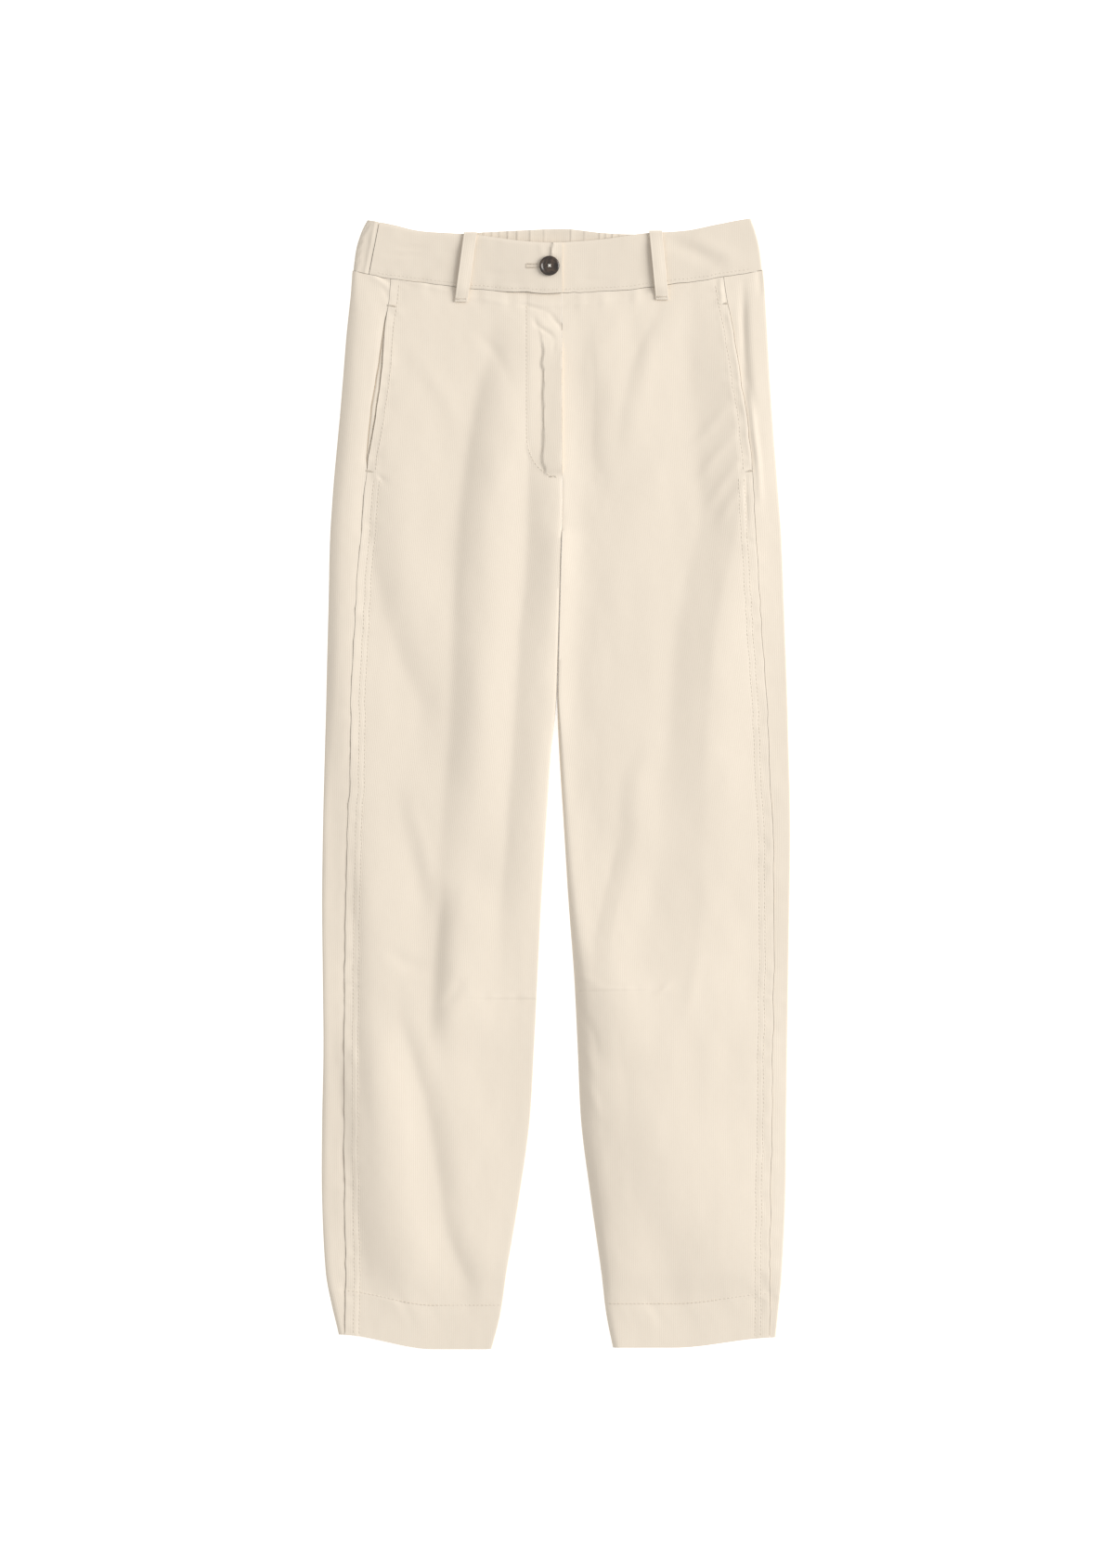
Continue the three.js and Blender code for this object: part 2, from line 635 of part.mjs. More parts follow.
// Strip of the pocket's facing that shows in its open mouth.
function pocketFacing(side) {
  const columns = 4;
  const rows = 9;
  const under = CLOTH + SEAM_GAP + POCKET.clear;
  const point = (i, j) => {
    const y = mix(POCKET.bottom - POCKET.below, POCKET.top + POCKET.above, j / (rows - 1));
    const across = mix(-POCKET.tuck, POCKET.tuck, i / (columns - 1));
    const x = side.seam(y) + across * (side === LEFT ? 1 : -1);
    const z = Math.min(frontHeight(side, x, y), sideHeight(side, x, y)) - under;
    return new THREE.Vector3(x, y, z);
  };
  return wall({ columns, rows, point, thickness: () => POCKET.thick, flip: side === RIGHT });
}

// Belt loop: a strap that stands off the waistband between its two sewn ends.
function beltLoop(side, { x: centre, lean }) {
  const columns = 3;
  const stations = table(
    ["down", "stand"],
    [0, 0], [0.08, 0.1], [0.2, 0.75], [0.4, 1], [0.6, 1], [0.78, 0.75], [0.88, 0.35], [1, 0],
  );
  const top = bandTop(centre) - LOOP.headDrop;
  const seamY = waistSeam(centre);
  const bottom = seamY - LOOP.below;
  const point = (i, j) => {
    const { down, stand } = stations[j];
    const y = mix(top, bottom, down);
    const across = mix(-LOOP.width / 2, LOOP.width / 2, i / (columns - 1));
    const x = centre + across + mix(lean, -lean, down);
    const onBand = bandHeight(side, x, Math.max(y, seamY));
    const step = smooth((seamY - y) / (LOOP.below - 1));
    const ground = mix(onBand, frontHeight(side, x, bottom) + LOOP.panelClear, step);
    return new THREE.Vector3(x, y, ground + LOOP.clear + LOOP.thick + LOOP.stand * stand);
  };
  return wall({ columns, rows: stations.length, point, thickness: () => LOOP.thick, flip: true });
}

// Joins a geometry's shared points and makes it a solid for cutting.
function solidOf(geometry) {
  const plain = geometry.clone();
  plain.deleteAttribute("normal");
  plain.deleteAttribute("uv");
  const merged = mergeVertices(plain, 1e-4);
  return new wasm.Manifold(new wasm.Mesh({
    numProp: 3,
    vertProperties: new Float32Array(merged.attributes.position.array),
    triVerts: new Uint32Array(merged.index.array),
  }));
}

function geometryOf(solid) {
  const mesh = solid.getMesh();
  const geometry = new THREE.BufferGeometry();
  geometry.setAttribute("position", new THREE.BufferAttribute(new Float32Array(mesh.vertProperties), 3));
  geometry.setIndex(new THREE.BufferAttribute(new Uint32Array(mesh.triVerts), 1));
  geometry.computeVertexNormals();
  return geometry;
}

// Button: a turned disc with a raised rim, a dished middle and four holes.
function buttonGeometry() {
  const { radius, thick, rim, rimFall, dish } = BUTTON;
  const profile = [
    [0, 0],
    [radius * 0.72, 0],
    [radius - 0.5, 0.7],
    [radius, thick / 2],
    [radius - 0.3, thick - 0.5],
    [radius - rimFall, thick],
    [radius - rim, thick - 0.15],
    [radius - rim - 1, thick - dish],
    [0, thick - dish - 0.1],
  ];
  const disc = new THREE.LatheGeometry(profile.map(([r, h]) => new THREE.Vector2(r, h)), 24);
  disc.rotateX(Math.PI / 2);
  let solid = solidOf(disc);
  for (let k = 0; k < 4; k += 1) {
    const angle = Math.PI / 4 + (k * Math.PI) / 2;
    const hole = new THREE.CylinderGeometry(BUTTON.holeRadius, BUTTON.holeRadius, thick * 3, 8);
    hole.rotateX(Math.PI / 2);
    hole.translate(BUTTON.holeRing * Math.cos(angle), BUTTON.holeRing * Math.sin(angle), 0);
    solid = solid.subtract(solidOf(hole));
  }
  return geometryOf(solid);
}

function clothMesh(name, geometry) {
  const material = new THREE.MeshStandardMaterial({ color: CLOTH_COLOUR, roughness: 0.92, metalness: 0 });
  const mesh = new THREE.Mesh(geometry, material);
  mesh.name = name;
  return mesh;
}

const trousers = new THREE.Group();
for (const side of [LEFT, RIGHT]) {
  trousers.add(clothMesh(`front_panel_${side.name}`, frontPanel(side)));
  trousers.add(clothMesh(`back_panel_${side.name}`, backPanel(side)));
  trousers.add(clothMesh(`pocket_facing_${side.name}`, pocketFacing(side)));
}
trousers.add(clothMesh("waistband_front_left", frontBandLeft()));
trousers.add(clothMesh("waistband_front_right", frontBandRight()));
trousers.add(clothMesh("waistband_back", backBand()));
trousers.add(clothMesh("belt_loop_left", beltLoop(LEFT, LOOP_LEFT)));
trousers.add(clothMesh("belt_loop_right", beltLoop(RIGHT, LOOP_RIGHT)));

const buttonFinish = { color: BUTTON_COLOUR, roughness: 0.35, metalness: 0 };
const buttonMaterial = new THREE.MeshStandardMaterial(buttonFinish);
const button = new THREE.Mesh(buttonGeometry(), buttonMaterial);
button.name = "button";
button.position.set(BUTTON.x, BUTTON.y, bandHeight(LEFT, BUTTON.x, BUTTON.y) + SEAM_GAP);
trousers.add(button);

export default trousers;
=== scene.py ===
"""High-waisted corduroy trousers, buttoned and laid flat on their back.

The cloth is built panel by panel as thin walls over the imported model: a height field with the garment's
folds, seams and hems. Sizes below are millimetres, in the model's own frame; MM makes them metres.
"""
import math
from dataclasses import dataclass
from typing import Callable

import bmesh
import bpy
import numpy as np
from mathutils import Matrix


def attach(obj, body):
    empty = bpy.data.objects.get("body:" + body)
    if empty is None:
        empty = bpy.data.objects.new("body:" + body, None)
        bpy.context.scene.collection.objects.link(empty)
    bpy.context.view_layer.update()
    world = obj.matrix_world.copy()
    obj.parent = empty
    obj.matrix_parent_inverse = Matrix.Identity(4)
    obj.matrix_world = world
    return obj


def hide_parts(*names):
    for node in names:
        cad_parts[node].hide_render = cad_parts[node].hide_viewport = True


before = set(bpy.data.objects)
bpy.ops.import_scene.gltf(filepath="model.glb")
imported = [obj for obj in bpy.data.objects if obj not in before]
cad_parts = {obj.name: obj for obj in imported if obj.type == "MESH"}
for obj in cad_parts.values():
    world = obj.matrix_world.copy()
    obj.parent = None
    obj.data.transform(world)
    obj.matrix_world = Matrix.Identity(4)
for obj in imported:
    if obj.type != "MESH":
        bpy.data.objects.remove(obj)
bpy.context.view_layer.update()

MM = 0.001

# Cloth and seams
CLOTH = 1.2
SEAM_GAP = 0.3
BAND_THICK = 2.0
BAND_EDGE_THICK = 1.5
BAND_DEPTH = 46.0
HEM_THICK = 2.0
HEM_DEPTH = 39.0

# Heights of the laid garment
LEG_LIFT = 4.6
HIP_LIFT = 5.2
HEM_LIFT = 4.9
BAND_LIFT = 6.0
EDGE_MID = 3.0
BAND_ROUND = {"left": 4.6, "right": 1.8}
BAND_LEVELS = (450.0, 498.0)
INNER_PUFF = {"left": 0.4, "right": 1.7, "reach": 14.0, "from": -170.0, "over": 60.0, "below": 0.35}

# Levels along the garment
CROTCH_Y = 222.0
CROTCH_TURN = 6.0
HEM_Y = -492.5
WAIST_SEAM_Y = 442.0

# Fly, pockets, waistband, loops and button
FLY_WIDTH = 31.0
FLY_RAISE = 0.3
FLY_EDGE = 3.0
FLY_EDGE_TOP = 416.0
FLY_CURVE_TOP = 307.0
FLY_BOTTOM = 270.0
POCKET_TOP = 418.0
POCKET_BOTTOM = 277.0
POCKET_GAPE = {"left": 5.2, "right": 0.05}
POCKET_EDGE = {"left": 0.2, "right": 0.5}
FACING_DROP = 1.85
OVERLAP_END = 4.9
UNDERLAP_END = -20.0
OVERLAP_RAISE = BAND_THICK + SEAM_GAP
OVERLAP_RAMP = 52.0
SIDE_SEAM_FOOT = -165.5
SIDE_SEAM_HEAD = -156.5
GATHERS = 52
GATHER_FROM = -176.0
GATHER_TO = 178.0
GATHER_RUN = 352.0
BUTTON_X = -6.3
BUTTON_Y = 457.2
BUTTON_RADIUS = 8.8
BUTTON_THICK = 3.1
LOOP_WIDTH = 11.5
LOOP_THICK = 1.8
LOOP_STAND = 1.5
LOOP_TILT = 0.1
LOOP_BELOW = 11.5
LOOP_REST = 0.4

# The forward seam's strip, over its stitched allowance, and the side's dip beside it
STRIP_RAISE = {"left": 0.32, "right": 0.2}
STRIP_SINK = {"left": 0.18, "right": 0.12}
STRIP_ABOVE_KNEE = 0.4

# Corduroy and sewing
WALE_PITCH = 1.75
STITCH_LENGTH = 3.0
STITCH_PITCH = 3.6
STITCH_RADIUS = 0.26
SEAM_ROWS = (7.6, 12.6)
BAND_ROW = 3.2
TACK_PITCH = 0.55
TACK_RADIUS = 0.19
HOLE_THREAD = 0.14

CLOTH_COLOUR = (0.775, 0.688, 0.576)
THREAD_COLOUR = (0.78, 0.70, 0.59)
BUTTON_COLOUR = (0.022, 0.014, 0.010)

# The photograph's frame, 1200 by 1689, shows this height of the surface
FRAME_HEIGHT = 1385.0
FRAME_CENTRE_X = 0.4
CAMERA_HEIGHT = 7000.0


def table(columns, *rows):
    """Rows of numbers as records with the named columns."""
    return [dict(zip(columns, row)) for row in rows]


# Outline and seams, one row for each level from the waist down.
LEVELS = table(
    ("y", "outer_left", "seam_left", "inner_left", "inner_right", "seam_right", "outer_right"),
    (498, -167, -146, 4.7, 4.7, 147, 171.8),
    (487, -172, -146, 4.7, 4.7, 147, 175.7),
    (471, -176.7, -146, 4.7, 4.7, 147, 179.6),
    (444, -180, -146.4, 4.7, 4.7, 147.4, 182.7),
    (422, -181.8, -148.2, 4.7, 4.7, 150.5, 184.9),
    (389, -185.8, -153.5, 4.7, 4.7, 157.2, 187.2),
    (323, -191.5, -162.2, 4.7, 4.7, 167.6, 191.5),
    (270, -196.4, -168.3, 4.8, 4.8, 173.4, 195.6),
    (225, -199.6, -172.3, 4.6, 4.6, 175.8, 198.9),
    (200, -200.5, -174.5, 3.9, 3.9, 177.6, 200),
    (160, -201.3, -177.5, 2.8, 2.8, 180.4, 201.4),
    (94, -203, -181, 0.9, 0.9, 184, 203.8),
    (73, -203.4, -181.5, 0, 0.5, 185.3, 204.5),
    (28, -204.6, -182.5, -4.5, 2.1, 187.4, 205.6),
    (-37, -206.2, -184, -8.6, 6.2, 190.5, 207),
    (-103, -207, -185.7, -12.7, 10.3, 191.5, 206.3),
    (-168, -206.4, -187, -16, 15.2, 191.5, 205.5),
    (-234, -205.8, -187.4, -19.3, 18.5, 190.7, 204.6),
    (-300, -207, -187.4, -23.4, 21.7, 189.8, 203.8),
    (-365, -207, -186.8, -32.4, 30, 189, 203),
    (-431, -203.8, -186.6, -43.5, 39.3, 188.6, 199.8),
    (-464, -198.5, -186.6, -49, 43.6, 188.2, 197),
    (-492.5, -192.3, -186.6, -57, 49.6, 188, 194),
)

# How far the round of each edge reaches inward, one row for each level from the waist down.
ROUNDS = table(
    ("y", "outer_left", "inner_left", "inner_right", "outer_right"),
    (498, 4.6, 0.8, 0.8, 1.8),
    (444, 4.6, 0.8, 0.8, 1.8),
    (400, 9.5, 0.8, 0.8, 1.8),
    (100, 9.5, 0.8, 0.8, 1.8),
    (20, 6, 1.2, 5, 1.8),
    (-110, 5, 1.2, 8, 1.8),
    (-220, 5, 1.2, 12, 1.8),
    (-330, 6, 1.2, 10, 1.8),
    (-431, 6, 1.2, 8, 1.8),
    (-464, 5, 1.2, 7, 1.8),
    (-492.5, 4.2, 1.2, 6, 1.8),
)

# Heights of the waist's edges, one row for each place from left to right.
WAIST = table(
    ("x", "seam", "top", "back_top"),
    (-180, 453, 499.3, 498.8),
    (-168, 450.5, 498, 497.4),
    (-146, 445.7, 494, 493),
    (-122, 443, 488.4, 487.8),
    (-90, 439, 486, 485.6),
    (-70, 436.8, 484.8, 486.8),
    (-32, 434, 479.5, 488.8),
    (-5, 432.8, 477.8, 490),
    (11, 433.3, 478.5, 490),
    (41, 434.8, 481, 486.6),
    (77, 437.6, 486, 485.3),
    (115, 442.8, 488.6, 488),
    (142, 446.8, 494, 493.2),
    (171, 451.5, 499.3, 498.6),
    (181, 453, 499.5, 498.8),
)
UNDER_SEAM = {"centre": 443.5, "edge": 453.0, "edge_x": 180.0}

# Lower edges of the legs, at their outer and inner corners.
HEM = {"left": (-486.0, -499.0), "right": (-488.5, -497.5)}

# Largest folds, ridges along the legs: rise, reach of the left and right flanks, sharpness of the crest
# from 0 to 1, and the crest's course from the waist down.
FOLDS = table(
    ("rise", "left", "right", "pinch", "crest"),
    (5.6, 27, 31, 0, [
        (-30, 384), (-42, 348), (-48, 315), (-53, 282), (-59, 233), (-62, 184), (-64, 135), (-65, 86),
        (-68, 36), (-72, -13), (-75, -60),
    ]),
    (4.0, 23, 18, 0, [
        (-2, 300), (-2, 233), (-4, 184), (-9, 135), (-12, 86), (-15, 36), (-19, -13), (-22, -62), (-26, -111),
    ]),
    (2.8, 26, 42, 0, [(-140, 350), (-141, 300), (-140, 240), (-134, 190), (-122, 140), (-106, 100), (-92, 70)]),
    (2.2, 15, 15, 0, [(-167, 422), (-171, 389), (-176.5, 323), (-181.5, 270), (-185, 225), (-189, 94), (-190, 40)]),
    (2.4, 34, 34, 0, [(-171, 140), (-168, 36), (-164, -45), (-159, -110)]),
    (6.4, 36, 34, 0, [(-158, -230), (-155, -259), (-151, -308), (-145, -357), (-136, -406), (-130, -445)]),
    (2.2, 15, 30, 0, [(-166, -60), (-163, -115), (-162, -193), (-158, -250), (-152, -300)]),
    (4.4, 20, 34, 0, [(-81, -100), (-84, -125), (-88, -170), (-90, -222)]),
    (1.0, 12, 18, 0, [(-90, -115), (-92, -175), (-92, -215)]),
    (3.4, 19, 36, 0, [
        (-120, -205), (-108, -240), (-94, -290), (-84, -350), (-76, -400), (-58, -440),
    ]),
    (1.8, 22, 26, 0, [(-118, 0), (-112, -40), (-102, -75), (-93, -105)]),
    (5.2, 34, 40, 0.4, [
        (146, 397), (154, 345), (159, 290), (161, 240), (156, 209), (148, 178), (139, 125), (134, 62), (131, 20),
    ]),
    (2.4, 42, 40, 0.4, [(133, 30), (133, -13), (130, -62), (128, -111), (120, -170)]),
    (2.4, 60, 42, 0, [(84, 330), (78, 282), (70, 233), (72, 184), (71, 135), (63, 86), (58, 36), (54, -13)]),
    (1.8, 14, 26, 0.3, [(82, 28), (72, 4), (70, -45), (62, -75), (56, -100), (50, -125), (47, -150)]),
    (6.6, 92, 96, 0, [(102, -150), (117, -215), (125, -290), (131, -370), (135, -460)]),
    (4.4, 18, 36, 0, [(25, -110), (31, -168), (35, -234), (39, -300), (47, -365), (56, -431), (62, -475)]),
    (2.0, 7, 60, 0, [(172.5, 425), (173, 400), (175.5, 364), (178.5, 335)]),
    (1.6, 30, 24, 0, [(62, -170), (60, -205), (58, -240)]),
    (1.2, 24, 30, 0, [(78, -215), (84, -260), (90, -320), (92, -390)]),
    (2.2, 32, 90, 0, [(50, -165), (54, -230), (62, -300), (70, -370)]),
    (2.2, 60, 60, 0, [(100, -290), (130, -360), (158, -430), (176, -480)]),
    (1.5, 14, 22, 0, [(44, 400), (47, 350), (46, 320), (46, 280)]),
    (1.6, 14, 26, 0, [(103, 421), (84, 378), (74, 340), (69, 304)]),
)
FOLD_FADE = 0.22
FOLD_FOOT = 0.25

# Small creases on the front: rise (negative for a trough), half width and course.
CREASES = table(
    ("rise", "width", "course"),
    (-0.9, 1.8, [(-163, 446.5), (-154, 441.8), (-147, 438.6)]),
    (0.8, 3.2, [(-164, 441.5), (-156, 437), (-148, 433.5)]),
    (-0.5, 2.0, [(-160, 440), (-152, 432), (-147, 421)]),
    (0.5, 9.0, [(-139, 389), (-118, 366), (-98, 340), (-90, 318)]),
    (-0.35, 8.0, [(-134, 380), (-116, 352), (-101, 328)]),
    (-0.8, 1.6, [(-158.5, 273), (-154, 269), (-150, 264.5)]),
    (-0.9, 1.5, [(-20.3, 418.5), (-17.2, 410.7), (-10.8, 406.4), (-6.5, 403.5), (-2.2, 397.9)]),
    (0.45, 3.4, [(-17.5, 421), (-11, 413), (-4, 408), (0, 402)]),
    (-0.8, 1.6, [(-5.7, 421.9), (-2.2, 416.8), (2, 412.5), (4, 407.5)]),
    (-0.35, 1.4, [(-2.2, 396), (-2.2, 389), (-2.6, 383)]),
    (-0.6, 1.6, [(-33, 431), (-20, 428.5), (-8, 425.5), (0, 418)]),
    (-0.5, 1.5, [(-44, 431.8), (-20, 429.6), (2, 428.4)]),
    (-0.8, 2.6, [(164.5, 436), (164.5, 400), (165.5, 364), (167.5, 340)]),
    (1.0, 2.6, [(170, 348), (174, 315), (177.6, 285), (179, 268), (179.5, 250)]),
    (-0.6, 1.3, [(167.2, 273), (167.4, 250), (168.6, 224)]),
    (-0.8, 2.2, [(178.3, 447), (180, 422)]),
    (0.7, 2.2, [(144, 440), (146.5, 418)]),
    (0.6, 4.6, [(122, 299), (135, 314), (149, 331)]),
    (0.7, 4.8, [(127, 270), (139, 288), (155, 306)]),
    (0.8, 4.6, [(133, 243), (146, 264), (160, 284)]),
    (0.6, 4.4, [(143, 229), (152, 246), (163, 263)]),
    (0.6, 8.0, [(34, 408), (30, 370), (33, 330)]),
    (0.5, 9.0, [(74, 420), (80, 380), (78, 340)]),
    (-0.5, 5.0, [(-70, 402), (-52, 380), (-40, 352)]),
    (0.6, 6.0, [(-128, -20), (-118, -52), (-112, -84)]),
    (-0.7, 6.0, [(-150, -146), (-134, -158), (-116, -163)]),
    (-0.8, 5.0, [(-84, -172), (-90, -184), (-98, -198)]),
    (0.5, 6.0, [(124, -150), (120, -178), (115, -206)]),
    (0.7, 2.0, [(87, -184.5), (94, -181.5), (99, -175)]),
    (0.6, 4.0, [(14, -168), (26, -172), (40, -178)]),
    (-0.6, 4.0, [(15, -196), (24, -206), (32, -220), (37, -240)]),
    (0.5, 4.0, [(18, -226), (26, -238), (33, -254)]),
    (0.5, 4.0, [(24, -262), (32, -276), (38, -294)]),
)

# Creases on the front waistband.
BAND_CREASES = table(
    ("rise", "width", "course"),
    (-0.7, 1.5, [(-140, 474), (-128, 473.3), (-114, 473.6)]),
    (-0.6, 1.5, [(-153, 467.4), (-136, 466.6), (-118, 467)]),
    (-0.35, 1.5, [(-104, 470), (-96, 469.4), (-88, 470)]),
    (0.35, 2.6, [(-15, 477), (-13, 470), (-12, 466)]),
    (-1.5, 7.0, [(98, 478), (122, 470), (144, 460)]),
    (0.8, 7.0, [(118, 480), (138, 472), (158, 464)]),
    (-0.5, 3.0, [(-64, 452), (-46, 449), (-26, 451)]),
    (-0.4, 2.0, [(-60, 445), (-40, 442.5), (-20, 441)]),
    (-0.4, 2.0, [(20, 446), (36, 444), (52, 446)]),
)

# Gathers that show outside at the left end of the back waistband.
SIDE_CREASES = table(
    ("rise", "width", "course"),
    (-0.9, 1.1, [(-171, 487.5), (-168, 490.5), (-165, 494)]),
    (-1.0, 1.1, [(-176, 480.5), (-172.5, 484), (-169, 487.5)]),
    (-1.0, 1.1, [(-178.5, 472), (-175, 475.5), (-171.5, 479.5)]),
    (-0.8, 1.2, [(-179.5, 463.5), (-176, 467), (-173, 470.5)]),
    (-0.6, 1.2, [(-179.5, 456), (-176.5, 459), (-174, 462)]),
)

# Marks of the gathers on the back waistband's inner face: x of each above the button's height, and depth.
INSIDE_TICKS = (
    (-64.4, 0.5), (-57, 0.6), (-50.4, 0.5), (-43, 0.7), (-34.8, 0.6), (-23.4, 0.6), (-11, 0.35), (12.7, 0.5),
    (24.5, 0.3), (38, 0.6), (43.5, 0.5), (49.6, 0.6), (55.4, 0.5), (63, 0.3),
)

# Soft troughs pressed into the cloth that rests on the surface.
UNDER_CREASES = table(
    ("rise", "width", "course"),
    (1.3, 7.0, [(-120, 380), (-105, 300), (-98, 210), (-104, 110)]),
    (1.6, 8.0, [(-60, 330), (-48, 250), (-30, 190), (-14, 150)]),
    (1.1, 6.0, [(-150, 60), (-140, -40), (-122, -130), (-118, -210)]),
    (1.5, 8.0, [(-64, 20), (-76, -80), (-82, -170), (-70, -260)]),
    (0.9, 5.0, [(-150, -190), (-128, -205), (-104, -212)]),
    (1.2, 7.0, [(-128, -300), (-116, -370), (-108, -440)]),
    (1.4, 8.0, [(64, 340), (52, 260), (34, 195), (18, 152)]),
    (1.2, 7.0, [(128, 390), (118, 300), (112, 200), (120, 100)]),
    (1.5, 8.0, [(88, 60), (98, -50), (94, -150), (80, -230)]),
    (0.9, 5.0, [(60, -170), (84, -182), (112, -186)]),
    (1.1, 6.0, [(150, -20), (146, -120), (152, -220)]),
    (1.2, 7.0, [(98, -300), (108, -380), (116, -450)]),
)

# Knee darts on the front: where each starts, at the inseam, and where it ends.
DARTS = {"left": ((-14.0, -189.6), (-82.0, -189.0)), "right": ((12.0, -182.6), (96.0, -181.2))}


def mix(a, b, t):
    return a + (b - a) * t


def smooth(t):
    c = np.clip(t, 0.0, 1.0)
    return c * c * (3.0 - 2.0 * c)


def bell(offset, reach):
    return np.exp(-((offset / reach) ** 2))


def curve_through(points):
    """A smooth curve through (at, value) points, level beyond its ends."""
    p = np.array(sorted(points), dtype=float)
    at, value = p[:, 0], p[:, 1]
    before = np.maximum(np.arange(len(p)) - 1, 0)
    after = np.minimum(np.arange(len(p)) + 1, len(p) - 1)
    slope = (value[after] - value[before]) / (at[after] - at[before])

    def curve(x):
        s = np.clip(x, at[0], at[-1])
        i = np.clip(np.searchsorted(at, s, side="right") - 1, 0, len(p) - 2)
        span = at[i + 1] - at[i]
        t = (s - at[i]) / span
        chord = (value[i + 1] - value[i]) / span
        rise = 3 * chord - 2 * slope[i] - slope[i + 1]
        bend = slope[i] + slope[i + 1] - 2 * chord
        return value[i] + span * (t * slope[i] + t * t * rise + t * t * t * bend)

    return curve


def column(rows, at, name):
    return curve_through([(row[at], row[name]) for row in rows])


waist_seam_drawn = column(WAIST, "x", "seam")
band_top = column(WAIST, "x", "top")
back_band_top = column(WAIST, "x", "back_top")


def waist_seam(x):
    """The waist seam as sewn, a little uneven."""
    return waist_seam_drawn(x) + 0.9 * wave(x, 0, 13, 17) + 0.5 * wave(x, 0, 5, 18)


def under_seam(x):
    return UNDER_SEAM["centre"] + (UNDER_SEAM["edge"] - UNDER_SEAM["centre"]) * (x / UNDER_SEAM["edge_x"]) ** 2


@dataclass
class Half:
    """One half of the garment. out is the sign of x towards its outer edge."""

    name: str
    out: int
    outer: Callable
    seam_line: Callable
    inner: Callable
    outer_round: Callable
    inner_round: Callable
    hem: tuple

    def seam(self, y):
        """The forward side seam, a little uneven as it is sewn and pressed."""
        wander = 1.5 * wave(y, 0, 27.0, 11 + self.out) + 0.9 * wave(y, 0, 9.0, 5 + self.out)
        return self.seam_line(y) + wander * smooth((430 - y) / 30)


def half(name, out):
    parts = ((LEVELS, "outer"), (LEVELS, "seam"), (LEVELS, "inner"), (ROUNDS, "outer"), (ROUNDS, "inner"))
    return Half(name, out, *(column(rows, "y", f"{part}_{name}") for rows, part in parts), HEM[name])


def wave(x, y, cell, seed, cell_y=None):
    """Smooth uneven noise from -0.5 to 0.5, in cells of the given size."""
    grid = np.random.default_rng(seed).random((64, 64)) - 0.5
    u = np.asarray(x, dtype=float) / cell + 512.0
    v = np.asarray(y, dtype=float) / (cell_y or cell) + 512.0
    i, j = np.floor(u).astype(int), np.floor(v).astype(int)
    s, t = smooth(u - i), smooth(v - j)
    i0, i1, j0, j1 = i % 64, (i + 1) % 64, j % 64, (j + 1) % 64
    return mix(mix(grid[i0, j0], grid[i1, j0], s), mix(grid[i0, j1], grid[i1, j1], s), t)


LEFT = half("left", -1)
RIGHT = half("right", 1)


def flank(u, pinch):
    """Left flank of a fold, from its crest (0) to its foot (1)."""
    rounded = 1 - u * u
    blunt = (rounded + np.hypot(rounded, FOLD_FOOT)) / (1 + math.hypot(1, FOLD_FOOT))
    sharp = np.clip(1 - u, 0, 1) ** 2
    return mix(blunt, sharp, pinch)


def fold_height(x, y):
    """Height that the large folds add."""
    total = np.zeros(np.broadcast(x, y).shape)
    for fold in FOLDS:
        crest = fold["crest"]
        line = curve_through([(cy, cx) for cx, cy in crest])
        head, foot = crest[0][1], crest[-1][1]
        along = (head - y) / (head - foot)
        fade = smooth((along + FOLD_FADE) / (2 * FOLD_FADE)) * smooth((1 + FOLD_FADE - along) / (2 * FOLD_FADE))
        off = x - line(y)
        left = flank(np.maximum(-off, 0) / fold["left"], fold["pinch"])
        total = total + fold["rise"] * fade * np.where(off < 0, left, bell(off, fold["right"]))
    return total


def crease_height(x, y, creases):
    """Height that small creases add: each is a soft ridge or trough along its course."""
    total = np.zeros(np.broadcast(x, y).shape)
    for crease in creases:
        course = np.array(crease["course"], dtype=float)
        lengths = np.hypot(*np.diff(course, axis=0).T)
        whole = lengths.sum()
        best = np.full(total.shape, 1e9)
        where = np.zeros(total.shape)
        run = 0.0
        for (ax, ay), (bx, by), length in zip(course[:-1], course[1:], lengths):
            t = np.clip(((x - ax) * (bx - ax) + (y - ay) * (by - ay)) / length**2, 0, 1)
            d = np.hypot(x - mix(ax, bx, t), y - mix(ay, by, t))
            nearer = d < best
            best = np.where(nearer, d, best)
            where = np.where(nearer, (run + t * length) / whole, where)
            run += length
        taper = 0.25 + 0.75 * np.sin(math.pi * np.clip(where, 0, 1)) ** 0.7
        total = total + crease["rise"] * taper * bell(best, crease["width"])
    return total


def turn(distance, reach):
    """Quarter round, 0 on an edge and 1 where its turn ends."""
    d = np.clip(distance / reach, 0.0, 1.0)
    return np.sqrt(1.0 - (1.0 - d) ** 2)


def leg_closed(y):
    """0 above the crotch, where the halves are one tube, and 1 where each leg is closed."""
    return smooth((CROTCH_Y + CROTCH_TURN - y) / (2 * CROTCH_TURN))


def edge_turn(side, x, y):
    from_outer = side.out * (side.outer(y) - x)
    from_inner = side.out * (x - side.inner(y)) - SEAM_GAP / 2
    inner_turn = mix(1.0, turn(from_inner, side.inner_round(y)), leg_closed(y))
    return turn(from_outer, side.outer_round(y)) * inner_turn


